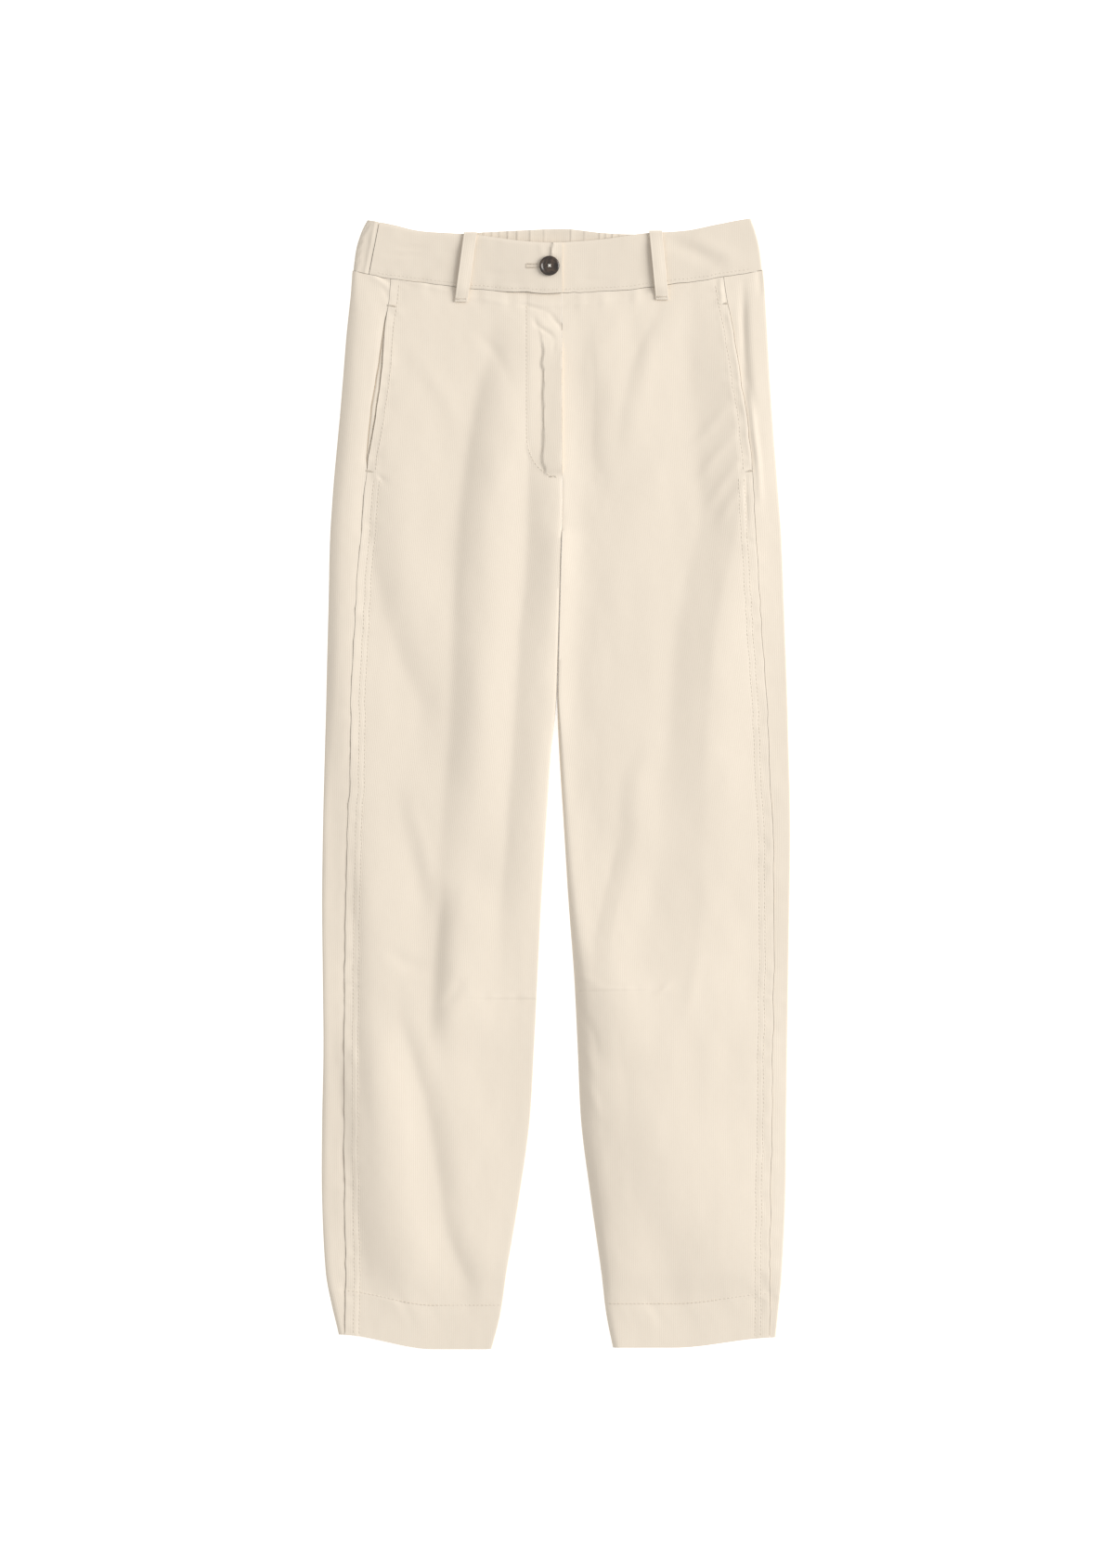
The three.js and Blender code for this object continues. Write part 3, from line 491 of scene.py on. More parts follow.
def lift(side, x, y):
    """Upper cloth before its edges are rounded."""
    from_inner = side.out * (x - side.inner(y))
    hips = smooth((y - 150) / 120)
    near_hem = smooth((HEM_Y + HEM_DEPTH + 25 - y) / 30)
    base = mix(mix(LEG_LIFT, HIP_LIFT, hips), HEM_LIFT, near_hem)
    full = smooth((y - INNER_PUFF["from"]) / INNER_PUFF["over"])
    puffed = leg_closed(y) * mix(INNER_PUFF["below"], 1.0, full)
    puff = INNER_PUFF[side.name] * puffed * bell(from_inner, INNER_PUFF["reach"])
    calm = mix(1.0, 0.35, smooth((y - 400) / 45)) * mix(1.0, 0.6, near_hem)
    drift = 1.0 * wave(x, y, 46, 3, 90) + 0.55 * wave(x, y, 17, 4, 34) + 0.14 * wave(x, y, 6, 6, 9)
    return base + calm * (puff + fold_height(x, y)) + drift


def fly_line(y):
    """Left border of the fly's stitched J."""
    down = np.clip((FLY_CURVE_TOP - y) / (FLY_CURVE_TOP - FLY_BOTTOM), 0, 1)
    return LEFT.inner(y) - FLY_WIDTH * np.sqrt(1 - down * down)


fly_step = curve_through([
    (412, -17.5), (403.8, -14.8), (393.5, -13.1), (383, -12.3), (372, -13.6), (365, -11.9), (357.5, -11.8),
    (344, -12.5), (322, -11.8), (300, -12.4), (284, -12.9), (278, -10.6),
])


def fly_relief(side, x, y):
    """The left front over the fly: a flat facing, the zip's wavy ridge and the stitched groove."""
    if side is not LEFT:
        return 0.0
    within = smooth((y - FLY_BOTTOM + 1.5) / 3)
    curved = smooth((FLY_CURVE_TOP - 1 - y) / 12)
    inside = x - fly_line(y)
    plate = FLY_RAISE * smooth((inside + 2.0) / 6.0)
    groove = -0.1 * bell(inside, 1.1)
    rim = 0.4 * curved * bell(inside + 0.6, 1.0)
    past = x - fly_step(y) - 0.6 * wave(y, 0, 5, 21)
    ends = smooth((y - 271) / 8) * smooth((413 - y) / 8)
    step = mix(0.6, 1.4, smooth((398 - y) / 12)) * smooth((past + 0.2) / 1.15) * ends
    swell = 2.1 * np.clip((past - 0.5) / 16, 0, 1) * smooth((404 - y) / 30) * ends
    return within * (plate + groove + rim + step + swell)


def hem_line(side, x):
    """Lower edge of a leg."""
    across = np.clip(side.out * (side.outer(HEM_Y) - x) / abs(side.outer(HEM_Y) - side.inner(HEM_Y)), 0, 1)
    return mix(side.hem[0], side.hem[1], smooth(across * 1.6))


def hem_relief(side, x, y, lower):
    """The turned-up hem: thicker below its line of stitches, with puckers that lean across it."""
    above = y - (hem_line(side, x) + HEM_DEPTH)
    plate = 0.3 * smooth((1.0 - above) / 4.0)
    groove = -0.03 * bell(above, 1.2)
    pucker = 0.6 * wave(x + 0.6 * above, 0, 8.5, 31 + lower) * bell(above + 4, 11)
    return plate + groove + pucker


def dart_relief(side, x, y):
    """The knee dart: a sewn line with its allowance pressed up above it."""
    (x0, y0), (x1, y1) = DARTS[side.name]
    t = (x - x0) / (x1 - x0)
    off = y - mix(y0, y1, t)
    along = smooth((1.0 - t) * 9) * smooth((t + 0.15) * 9)
    ridge = 0.4 * smooth((off + 0.6) / 1.2) * smooth((9 * (1.05 - t) - off) / 5)
    pucker = 0.35 * wave(x, 0, 7, 41) * bell(off - 1, 5)
    return along * (ridge - 0.15 * bell(off + 0.4, 1.0) + pucker)


def mouth_run(y):
    return (POCKET_TOP - y) / (POCKET_TOP - POCKET_BOTTOM)


def gape(side, y):
    """How far a pocket's mouth stands open."""
    down = np.clip(mouth_run(y), 0, 1)
    return POCKET_GAPE[side.name] * np.sin(math.pi * down**1.3)


def at_mouth(y):
    return smooth(mouth_run(y) * 12) * smooth((1 - mouth_run(y)) * 12)


def strip_share(y):
    """Above the knee the forward seam's strip is pressed flatter."""
    return mix(STRIP_ABOVE_KNEE, 1.0, smooth((40 - y) / 160))


def front_height(side, x, y, fine=True):
    """Outer face of a front panel."""
    from_seam = side.out * (side.seam(y) - x)
    open_here = at_mouth(y)
    raise_here = STRIP_RAISE[side.name] * strip_share(y) * (1 + 0.9 * wave(y, 0, 60, 47 + side.out))
    strip = mix(raise_here, 0.1, open_here) * (1 - smooth((from_seam - 8.5) / 5))
    top = lift(side, x, y) + strip
    if fine:
        below_pocket = smooth((POCKET_BOTTOM - 4 - y) / 10)
        rows = sum(bell(from_seam - away, 1.0) for away in SEAM_ROWS)
        top = top - 0.1 * below_pocket * rows - 0.12 * open_here * bell(from_seam - SEAM_ROWS[0], 0.9)
        edge = 0.14 * below_pocket + POCKET_EDGE[side.name] * open_here
        top = top + edge * bell(from_seam - 1.8, 2.2)
        pucker = wave(y, from_seam, 6.0, 51 + side.out, 10.0) + 0.5 * wave(y, from_seam, 3.0, 53 + side.out, 6.0)
        top = top + 0.7 * pucker * bell(from_seam - 6, 7)
        top = top + fly_relief(side, x, y) + hem_relief(side, x, y, 0) + dart_relief(side, x, y)
        top = top + crease_height(x, y, CREASES)
        from_band = waist_seam(x) - y
        top = top + 0.8 * wave(x, 0, 7, 61) * bell(from_band, 9) + 0.35 * bell(from_band - 2.5, 2.2)
        centre = side.out * (x - side.inner(y))
        below_fly = smooth((FLY_BOTTOM + 4 - y) / 8) * (1 - leg_closed(y))
        top = top - 0.35 * below_fly * bell(centre, 1.2)
        if side is RIGHT:
            top = top + 0.55 * bell(centre, 17) * smooth((y - 120) / 110) * smooth((432 - y) / 40)
        else:
            top = top + 1.2 * smooth((x + 26) / 31) * smooth((FLY_BOTTOM + 8 - y) / 22) * smooth((y - 40) / 160)
    return EDGE_MID + (top - EDGE_MID) * edge_turn(side, x, y)


def side_height(side, x, y):
    """Outer face between the forward seam and the outer edge."""
    from_seam = side.out * (x - side.seam(y))
    sink = mix(STRIP_SINK[side.name] * strip_share(y), 0.5, at_mouth(y)) * (1 - smooth(from_seam / 6))
    pucker = 0.5 * wave(y, 0, 9.0, 71 + side.out) * bell(from_seam, 6)
    top = lift(side, x, y) - sink + pucker + crease_height(x, y, CREASES) + hem_relief(side, x, y, 1)
    return EDGE_MID + (top - EDGE_MID) * edge_turn(side, x, y)


def under_height(side, x, y):
    """Outer face of the lower cloth: on the surface but for its edges and its soft troughs."""
    turned = edge_turn(side, x, y)
    from_centre = side.out * (x - side.inner(y))
    seam_groove = 0.5 * bell(from_centre, 1.6) * (1 - leg_closed(y))
    above = y - (hem_line(side, x) + HEM_DEPTH)
    hem_groove = 0.35 * bell(above, 1.2)
    waist_pucker = np.abs(wave(x, 0, 7, 81)) * bell(under_seam(x) - y, 16)
    trough = np.maximum(crease_height(x, y, UNDER_CREASES), 0)
    away = smooth(side.out * (side.outer(y) - x) / 14) * smooth((from_centre + 8) / 16)
    flutter = 0.5 * np.maximum(wave(x, y, 30, 83, 60), 0)
    return EDGE_MID * (1 - turned) + away * (trough + flutter) + seam_groove + hem_groove + 1.1 * waist_pucker


def steps(*runs):
    """Levels from runs of (start, end, step), each run starting where the last one ended."""
    levels = [np.array([runs[0][0]], dtype=float)]
    for start, end, step in runs:
        count = max(1, round(abs(end - start) / step))
        levels.append(np.linspace(start, end, count + 1)[1:])
    return np.concatenate(levels)


PANEL_LEVELS = steps(
    (HEM_Y, HEM_Y + 2, 1.0),
    (HEM_Y + 2, HEM_Y + 34, 3.2),
    (HEM_Y + 34, HEM_Y + 46, 1.0),
    (HEM_Y + 46, -197, 3.2),
    (-197, -174, 1.0),
    (-174, CROTCH_Y - 12, 3.2),
    (CROTCH_Y - 12, CROTCH_Y + 10, 1.4),
    (CROTCH_Y + 10, FLY_BOTTOM - 5, 2.8),
    (FLY_BOTTOM - 5, FLY_BOTTOM + 40, 1.5),
    (FLY_BOTTOM + 40, 395, 2.4),
    (395, WAIST_SEAM_Y - 5, 1.6),
    (WAIST_SEAM_Y - 5, WAIST_SEAM_Y, 0.9),
)


def fit_level(side, x, y, waist_line, hem_short=0.0):
    """Moves a row at its nominal level to the curves of the hem and of the waist seam."""
    hem_pull = 1 - smooth((y - HEM_Y) / 70)
    waist_pull = smooth((y - (WAIST_SEAM_Y - 90)) / 90)
    hem = hem_line(side, x) + hem_short
    return y + (hem - HEM_Y) * hem_pull + (waist_line(x) - SEAM_GAP / 2 - WAIST_SEAM_Y) * waist_pull


def wall_mesh(name, outer, thickness, grain, flip, guide=None):
    """A closed wall under a grid of outer points, as an object. grain holds the cloth's own coordinates,
    and guide the smoother grid whose normals the thickness follows."""
    rows, columns = outer.shape[:2]
    guide = outer if guide is None else guide
    du = np.gradient(guide, axis=1)
    dv = np.gradient(guide, axis=0)
    normal = np.cross(du, dv)
    if flip:
        normal = -normal
    normal /= np.linalg.norm(normal, axis=2, keepdims=True)
    inner = outer - normal * np.broadcast_to(thickness, (rows, columns))[..., None]
    points = np.concatenate([outer.reshape(-1, 3), inner.reshape(-1, 3)]) * MM
    index = np.arange(rows * columns).reshape(rows, columns)
    quads = np.stack([index[:-1, :-1], index[:-1, 1:], index[1:, 1:], index[1:, :-1]], axis=-1).reshape(-1, 4)
    border = np.concatenate([index[0, :-1], index[:-1, -1], index[-1, :0:-1], index[:0:-1, 0]])
    following = np.roll(border, -1)
    count = rows * columns
    rim = np.stack([border, border + count, following + count, following], axis=-1)
    faces = np.concatenate([quads, quads[:, ::-1] + count, rim])
    if flip:
        faces = faces[:, ::-1]
    uv = np.concatenate([grain.reshape(-1, 2)] * 2) * MM
    return mesh_object(name, points, faces, uv)


def add_object(name, data):
    """A new object in the scene."""
    thing = bpy.data.objects.new(name, data)
    bpy.context.scene.collection.objects.link(thing)
    return thing


def mesh_object(name, points, faces, uv, sharp=40.0):
    """An object from arrays of points and of faces with equal corner counts."""
    mesh = bpy.data.meshes.new(name)
    faces = np.asarray(faces)
    corners = faces.shape[1]
    mesh.vertices.add(len(points))
    mesh.vertices.foreach_set("co", np.asarray(points, dtype=np.float32).ravel())
    mesh.loops.add(faces.size)
    mesh.loops.foreach_set("vertex_index", faces.ravel().astype(np.int32))
    mesh.polygons.add(len(faces))
    mesh.polygons.foreach_set("loop_start", np.arange(0, faces.size, corners, dtype=np.int32))
    mesh.update(calc_edges=True)
    layer = mesh.uv_layers.new(name="grain")
    layer.data.foreach_set("uv", uv[faces.ravel()].astype(np.float32).ravel())
    mesh.validate()
    mesh.shade_smooth()
    mesh.set_sharp_from_angle(angle=math.radians(sharp))
    return add_object(name, mesh)


FROM_SEAM = np.array([0, 0.7, 1.5, 2.4, 3.4, 4.6, 5.8, 6.8, 7.6, 8.4, 9.4, 10.6, 11.7, 12.6, 13.5, 15.5])
MIDDLE_COLUMNS = 34
SIDE_COLUMNS = 15
FROM_FLY = np.array(
    [46, 43, 40, 37.5, 35.5, 33.8, 32.5, 31.5, 30.6, 29.7, 28.6, 27, 25, 23, 21.4, 20, 18.7, 17.5, 16.4, 15.4, 14.2]
    + [12.8, 11, 9.2, 7.4, 5.8, 4.4, 3.2, 2.2, 1.4, 0.6, 0]
)
TURN_COLUMNS = 9
TURNED = 1 - np.cos(np.radians(np.linspace(90, 0, TURN_COLUMNS)))
BEFORE_INSEAM = np.linspace(0, 1, len(FROM_FLY) - len(TURNED))


def turned_columns(reach, count):
    """Distances of a rounded edge's columns from it, a row for each level."""
    return np.broadcast_to(reach * TURNED, (count, len(TURNED)))


def panel_depth(levels, columns, edge_columns):
    """Depth of a leg panel's wall: the hem is turned up inside, but for its folds at the edges."""
    depth = np.full((len(levels), columns), CLOTH)
    depth[levels < HEM_Y + HEM_DEPTH + 1] = HEM_THICK
    depth[:, edge_columns] = CLOTH
    return depth


def front_panel(side):
    """Front panel: forward side seam to centre front or, below the crotch, to the inseam."""
    y = PANEL_LEVELS[:, None]
    seam = side.seam(y) - side.out * (SEAM_GAP / 2 + gape(side, y) / 2)
    inner = side.inner(y) + side.out * SEAM_GAP / 2
    below = smooth((FLY_BOTTOM - y) / (FLY_BOTTOM - CROTCH_Y - CROTCH_TURN))
    reach = side.inner_round(y)
    from_inseam = np.concatenate([mix(FROM_FLY[0], reach + 2.8, BEFORE_INSEAM[None, :]), reach * TURNED[None, :]], 1)
    from_inner = mix(FROM_FLY[None, :], from_inseam, below)
    start = seam - side.out * FROM_SEAM[-1]
    end = inner + side.out * from_inner[:, :1]
    share = np.arange(1, MIDDLE_COLUMNS)[None, :] / MIDDLE_COLUMNS
    near_seam = seam - side.out * FROM_SEAM[None, :]
    x = np.concatenate([near_seam, mix(start, end, share), inner + side.out * from_inner], 1)
    yy = np.broadcast_to(y, x.shape)
    real_y = fit_level(side, x, yy, waist_seam)
    z = front_height(side, x, yy)
    z[:, -1] += (SEAM_GAP / 2) * leg_closed(PANEL_LEVELS)
    outer = np.stack([x, real_y, z], axis=-1)
    grain = np.stack([x - 0.35 * side.seam_line(y) * np.ones_like(x) * smooth((y + 200) / 700), real_y], axis=-1)
    depth = panel_depth(PANEL_LEVELS, x.shape[1], slice(x.shape[1] - TURN_COLUMNS, None))
    if side is LEFT:
        # The fly's edge is several layers thick, down to the right front beside it.
        layered = smooth((PANEL_LEVELS - FLY_BOTTOM + 5) / 6) * smooth((FLY_EDGE_TOP - PANEL_LEVELS) / 8)
        depth[:, -TURN_COLUMNS:] += FLY_EDGE * layered[:, None] * np.linspace(0, 1, TURN_COLUMNS)[None, :]
    return wall_mesh(f"cloth_front_{side.name}", outer, depth, grain, side is RIGHT)


def back_panel(side):
    """Back panel: forward side seam, round the outer edge and under to the centre back or the inseam."""
    levels = PANEL_LEVELS
    y = levels[:, None]
    width = np.abs(side.outer(y) - side.seam(y)) - SEAM_GAP / 2 - gape(side, y) / 2
    outer_x = side.outer(y)
    inner_x = side.inner(y) + side.out * SEAM_GAP / 2
    flat_share = np.linspace(0, 1, SIDE_COLUMNS + 1)[None, :-1]
    reach = side.outer_round(y)
    inner_reach = side.inner_round(y)
    around = turned_columns(reach, len(levels))
    upper = np.concatenate([mix(width, reach, flat_share), around], 1)
    x_upper = outer_x - side.out * upper
    x_turned = outer_x - side.out * around[:, ::-1][:, 1:]
    across = np.linspace(0, 1, 46)[None, 1:-1]
    flat_start = outer_x - side.out * reach
    flat_end = inner_x + side.out * inner_reach
    x_flat = mix(flat_start, flat_end, across)
    x_inner = inner_x + side.out * turned_columns(inner_reach, len(levels))
    x_lower = np.concatenate([x_turned, x_flat, x_inner], 1)
    y_upper = np.broadcast_to(y, x_upper.shape)
    y_lower = np.broadcast_to(y, x_lower.shape)
    z_upper = side_height(side, x_upper, y_upper)
    z_lower = under_height(side, x_lower, y_lower)
    z_lower[:, -1] -= (SEAM_GAP / 2) * leg_closed(levels)
    real_upper = fit_level(side, x_upper, y_upper, waist_seam)
    real_lower = fit_level(side, x_lower, y_lower, under_seam, 1.5)
    ease = np.ones(x_lower.shape[1])
    ease[: TURN_COLUMNS - 1] = np.linspace(0, 1, TURN_COLUMNS)[1:]
    real_lower = mix(fit_level(side, x_lower, y_lower, waist_seam), real_lower, ease[None, :])
    x = np.concatenate([x_upper, x_lower], 1)
    real_y = np.concatenate([real_upper, real_lower], 1)
    outer = np.stack([x, real_y, np.concatenate([z_upper, z_lower], 1)], axis=-1)
    run = np.concatenate([-upper, side.out * (outer_x - x_lower) + 2 * EDGE_MID], 1)
    grain = np.stack([run, real_y], axis=-1)
    edges = np.r_[0 : SIDE_COLUMNS + 2 * TURN_COLUMNS - 1, x.shape[1] - TURN_COLUMNS : x.shape[1]]
    depth = panel_depth(levels, x.shape[1], edges)
    return wall_mesh(f"cloth_back_{side.name}", outer, depth, grain, side is LEFT)


def band_ground(side, x, y):
    """Upper face of the front waistband."""
    raised = OVERLAP_RAISE * smooth((x - (UNDERLAP_END - 2 - OVERLAP_RAMP)) / OVERLAP_RAMP) if side is LEFT else 0.0
    return EDGE_MID + (BAND_LIFT + raised - EDGE_MID) * edge_turn(side, x, y)


def band_relief(x, y, v, seed):
    """Unevenness, creases, pressed edges and stitched line of a waistband, and the pull above its button."""
    drift = 0.7 * wave(x, y, 30, seed, 24) + 0.25 * wave(x, y, 9, seed + 1)
    foot = v * BAND_DEPTH
    head = (1.0 - v) * BAND_DEPTH
    rolled = -0.55 * bell(foot, 1.6) - 0.7 * bell(head, 1.8)
    row = -0.22 * bell(foot - BAND_ROW, 0.9)
    pucker = 0.4 * wave(x, 0, 8, seed + 2) * bell(foot - 3, 5)
    pulled = x - BUTTON_X - 0.15 * (y - BUTTON_Y)
    crest = smooth(pulled + 1.0) * np.exp(-np.maximum(pulled, 0) / 5)
    tug = 1.5 * crest * smooth((y - BUTTON_Y - 5) / 4)
    return drift + rolled + row + pucker + tug + crease_height(x, y, BAND_CREASES)


BAND_SHARES = np.concatenate(
    [[0, 0.02, 0.045, 0.07, 0.1], np.linspace(0.13, 0.9, 17), [0.93, 0.955, 0.975, 0.99, 1.0]]
)


def band_mesh(name, x, side, right_edge=None):
    v = BAND_SHARES[:, None]
    foot = waist_seam(x) + SEAM_GAP / 2
    y = mix(foot, band_top(x), v)
    if side is LEFT:
        z = band_ground(LEFT, x, y) + band_relief(x, y, v, 91)
    else:
        z = EDGE_MID + (BAND_LIFT + band_relief(x, y, v, 95) - EDGE_MID) * turn(right_edge - x, BAND_ROUND["right"])
    outer = np.stack([x, y, z], axis=-1)
    return wall_mesh(name, outer, BAND_THICK if side is LEFT else BAND_EDGE_THICK, np.stack([x, y], axis=-1), False)


def side_seam_x(v):
    return mix(SIDE_SEAM_FOOT, SIDE_SEAM_HEAD, v)


def front_band_left():
    v = BAND_SHARES[:, None]
    share = np.concatenate([[0, 0.004, 0.01, 0.018], np.linspace(0.03, 0.97, 110), [0.98, 0.988, 0.994, 0.998, 1.0]])
    x = mix(side_seam_x(v) + SEAM_GAP / 2, OVERLAP_END + 0 * v, share[None, :])
    return band_mesh("cloth_band_front_left", x, LEFT)


def front_band_right():
    v = BAND_SHARES[:, None]
    edge = RIGHT.outer(mix(*BAND_LEVELS, v))
    flat = mix(UNDERLAP_END, edge - BAND_ROUND["right"], np.linspace(0, 1, 110)[None, :-1])
    x = np.concatenate([flat, edge - turned_columns(BAND_ROUND["right"], len(v))], 1)
    return band_mesh("cloth_band_front_right", x, RIGHT, edge)


def back_band():
    """Gathered back waistband, from the left side seam round the edge and under to the right edge."""
    shares = np.linspace(0, 1, 22)
    v = shares[:, None]
    left_edge = LEFT.outer(mix(*BAND_LEVELS, v))
    right_edge = RIGHT.outer(mix(*BAND_LEVELS, v))
    seam_width = side_seam_x(v) - SEAM_GAP - left_edge
    reach_left, reach_right = BAND_ROUND["left"], BAND_ROUND["right"]
    around = turned_columns(reach_left, len(v))
    upper = np.concatenate([mix(seam_width, reach_left, np.linspace(0, 1, 21)[None, :-1]), around], 1)
    x_upper = left_edge + upper
    x_turned = left_edge + around[:, ::-1][:, 1:]
    x_flat = mix(left_edge + reach_left, right_edge - reach_right, np.linspace(0, 1, 420)[None, 1:-1])
    x_right = right_edge - turned_columns(reach_right, len(v))
    x = np.concatenate([x_upper, x_turned, x_flat, x_right], 1)
    is_upper = (np.arange(x.shape[1]) < upper.shape[1])[None, :]
    y = mix(np.where(is_upper, waist_seam(x), under_seam(x)) + SEAM_GAP / 2,
            np.where(is_upper, band_top(x), back_band_top(x)), v)
    turned = turn(x - left_edge, reach_left) * turn(right_edge - x, reach_right)
    uneven = 0.5 * wave(x, 0, 13, 101), 0.25 * wave(x, y, 11, 102, 30)
    phase = 2 * math.pi * (GATHERS * (x - GATHER_FROM) / GATHER_RUN + uneven[0] + uneven[1])
    strength = (0.7 + 0.9 * wave(x, 0, 23, 103)) * np.clip(1 - 0.35 * np.sin(math.pi * v), 0, 1)
    ripple = np.maximum(strength, 0.15) * (0.5 + 0.5 * np.cos(phase))
    flat_part = smooth((x - GATHER_FROM) / 20) * smooth((GATHER_TO - x) / 20)
    pucker = 0.8 * wave(x + 0.25 * (y - 470), y, 5.5, 104, 26)
    seam_off = side_seam_x(v) - x
    ridge = 0.45 * bell(seam_off - 3.6, 1.8)
    marks = crease_height(x, y, SIDE_CREASES)
    z_upper = EDGE_MID + (BAND_LIFT + pucker + ridge + marks - EDGE_MID) * turned
    ground = EDGE_MID * (1 - turned)
    z_lower = ground + 0.8 * flat_part * ripple
    z = np.where(is_upper, z_upper, z_lower)
    z[:, -1] -= SEAM_GAP / 2
    outer = np.stack([x, y, z], axis=-1)
    guide = np.stack([x, y, np.where(is_upper, z_upper, ground)], axis=-1)
    below_top = back_band_top(x) - y
    ticks = np.zeros(x.shape)
    for at, deep in INSIDE_TICKS:
        off = x - at - 0.6 * wave(y, 0, 5, 105) - 0.04 * (y - 484) * wave(at, 0, 3, 106)
        tooth = smooth((off + 0.9) / 0.9) * np.exp(-np.maximum(off, 0) / 3.0)
        ticks = ticks + deep * tooth * mix(1.0, 0.3, smooth((below_top - 10) / 5))
    inside = 0.35 * wave(x, y, 4.5, 107, 14) + 0.3 * wave(x, y, 16, 108) + 0.4 * bell(below_top - 2.0, 1.6)
    fullness = flat_part * (0.8 * (1 - ripple) + 0.15 + inside + ticks)
    depth = BAND_EDGE_THICK + np.where(is_upper, 0, fullness)
    return wall_mesh("cloth_band_back", outer, depth, np.stack([x * 1.25, y], axis=-1), True, guide)


def pocket_facing(side):
    """The facing that shows in a pocket's open mouth, a soft roll between its edges."""
    y = np.linspace(POCKET_BOTTOM - 8, POCKET_TOP + 6, 90)[:, None]
    across = np.linspace(-6, 6, 25)[None, :] * (1 if side is LEFT else -1)
    x = side.seam(y) + across
    yy = np.broadcast_to(y, x.shape)
    opening = gape(side, y)
    roll = 1.2 * smooth(opening / 2.5) * np.exp(-((across / (0.38 * opening + 0.2)) ** 4))
    z = lift(side, side.seam(y), y) - FACING_DROP + 0.2 * wave(x, yy, 7, 111, 12) + roll
    outer = np.stack([x, yy, z], axis=-1)
    return wall_mesh(f"cloth_facing_{side.name}", outer, 1.0, np.stack([x, yy], axis=-1), side is RIGHT)


LOOPS = table(("side", "top_x", "foot_x"), (LEFT, -76.2, -84.2), (RIGHT, 87.5, 93.3))
LOOP_STATIONS = table(
    ("down", "stand"),
    (-0.03, -0.9), (0, 0.0), (0.04, 0.12), (0.1, 0.3), (0.2, 0.75), (0.32, 0.95), (0.5, 1.0), (0.66, 0.95),
    (0.78, 0.75), (0.86, 0.42), (0.92, 0.12), (0.96, 0.0), (1.0, -0.05), (1.01, -0.3),
)


def loop_ground(side, x, y):
    """The cloth under a belt loop, from the waistband down to the panel."""
    seam_y = waist_seam(x)
    on_band = band_ground(side, x, np.maximum(y, seam_y)) + LOOP_REST
    on_panel = front_height(side, x, np.minimum(y, seam_y), fine=False) + LOOP_REST
    return mix(on_band, on_panel, smooth((seam_y - y) / (LOOP_BELOW - 1)))


def belt_loop(row):
    """A strap that stands off the waistband between its two sewn ends."""
    side = row["side"]
    stand_at = curve_through([(s["down"], s["stand"]) for s in LOOP_STATIONS])
    down = np.linspace(-0.03, 1.01, 64)[:, None]
    middle = (row["top_x"] + row["foot_x"]) / 2
    top = band_top(middle) - 0.2
    bottom = waist_seam(middle) - LOOP_BELOW
    across = np.concatenate([[-0.5, -0.49, -0.47, -0.43], np.linspace(-0.37, 0.37, 11), [0.43, 0.47, 0.49, 0.5]])
    x = mix(row["top_x"], row["foot_x"], down) + LOOP_WIDTH * across[None, :]
    y = mix(top, bottom, down) + 0 * x
    edge = np.abs(across[None, :]) * LOOP_WIDTH
    crown = -0.25 * smooth((edge - 5.2) / 0.6) - 0.12 * bell(edge - 4.2, 0.7) + 0.1 * bell(edge, 3)
    z = loop_ground(side, x, y) + LOOP_THICK + LOOP_STAND * stand_at(down) + crown
    z = z + 0.25 * wave(x, y, 6, 121 + side.out, 9) - LOOP_TILT * LOOP_WIDTH * across[None, :] * stand_at(down)
    outer = np.stack([x, y, z], axis=-1)
    grain = np.stack([x - mix(row["top_x"], row["foot_x"], down), y], axis=-1)
    return wall_mesh(f"cloth_loop_{side.name}", outer, LOOP_THICK - 0.3, grain, True)


def stitch_mesh(name, courses):
    """Rows of stitches: for each course of (point, direction) arrays, a small rounded thread every pitch."""
    ring = 6
    sections = np.array(
        [[-0.5, 0.15, -0.45], [-0.36, 0.8, 0.1], [0.0, 1.0, 0.35], [0.36, 0.8, 0.1], [0.5, 0.15, -0.45]]
    )
    angle = np.arange(ring) * 2 * math.pi / ring
    points, faces, uvs = [], [], []
    base = 0
    pattern = []
    for s in range(len(sections) - 1):
        for k in range(ring):
            a, b = s * ring + k, s * ring + (k + 1) % ring
            pattern.append((a, b, b + ring, a + ring))
    pattern = np.array(pattern)
    for centre, direction, length, radius in courses:
        for c, d in zip(centre, direction):
            d = d / np.linalg.norm(d)
            across = np.array([-d[1], d[0], 0.0])
            up = np.array([0.0, 0.0, 1.0])
            for along, swell, rise in sections:
                middle = c + d * along * length + up * rise * radius
                for w in angle:
                    points.append(middle + (across * math.cos(w) + up * math.sin(w)) * radius * swell)
                    uvs.append((along * length, w))
            faces.append(pattern + base)
            base += len(sections) * ring
    return mesh_object(name, np.array(points) * MM, np.concatenate(faces), np.array(uvs) * MM, sharp=80)


def resample(path, pitch):
    """Centres and directions of stitches along a path of points, every pitch."""
    path = np.asarray(path, dtype=float)
    run = np.concatenate([[0], np.cumsum(np.linalg.norm(np.diff(path, axis=0), axis=1))])
    count = int(run[-1] / pitch)
    at = (np.arange(count) + 0.5) * pitch
    third = pitch / 3
    centre, ahead, behind = (
        np.stack([np.interp(run_at, run, path[:, k]) for k in range(3)], axis=1)
        for run_at in (at, at + third, at - third)
    )
    return centre, ahead - behind


def stitched(path):
    """A course of the garment's usual stitches along a path of points."""
    return (*resample(path, STITCH_PITCH), STITCH_LENGTH, STITCH_RADIUS)


def on_front(side, x, y, rise=0.0):
    """Points on a front panel, from nominal levels."""
    z = front_height(side, x, y) + rise
    return np.stack([x + 0 * y, fit_level(side, x, y, waist_seam) + 0 * x, z], axis=-1)


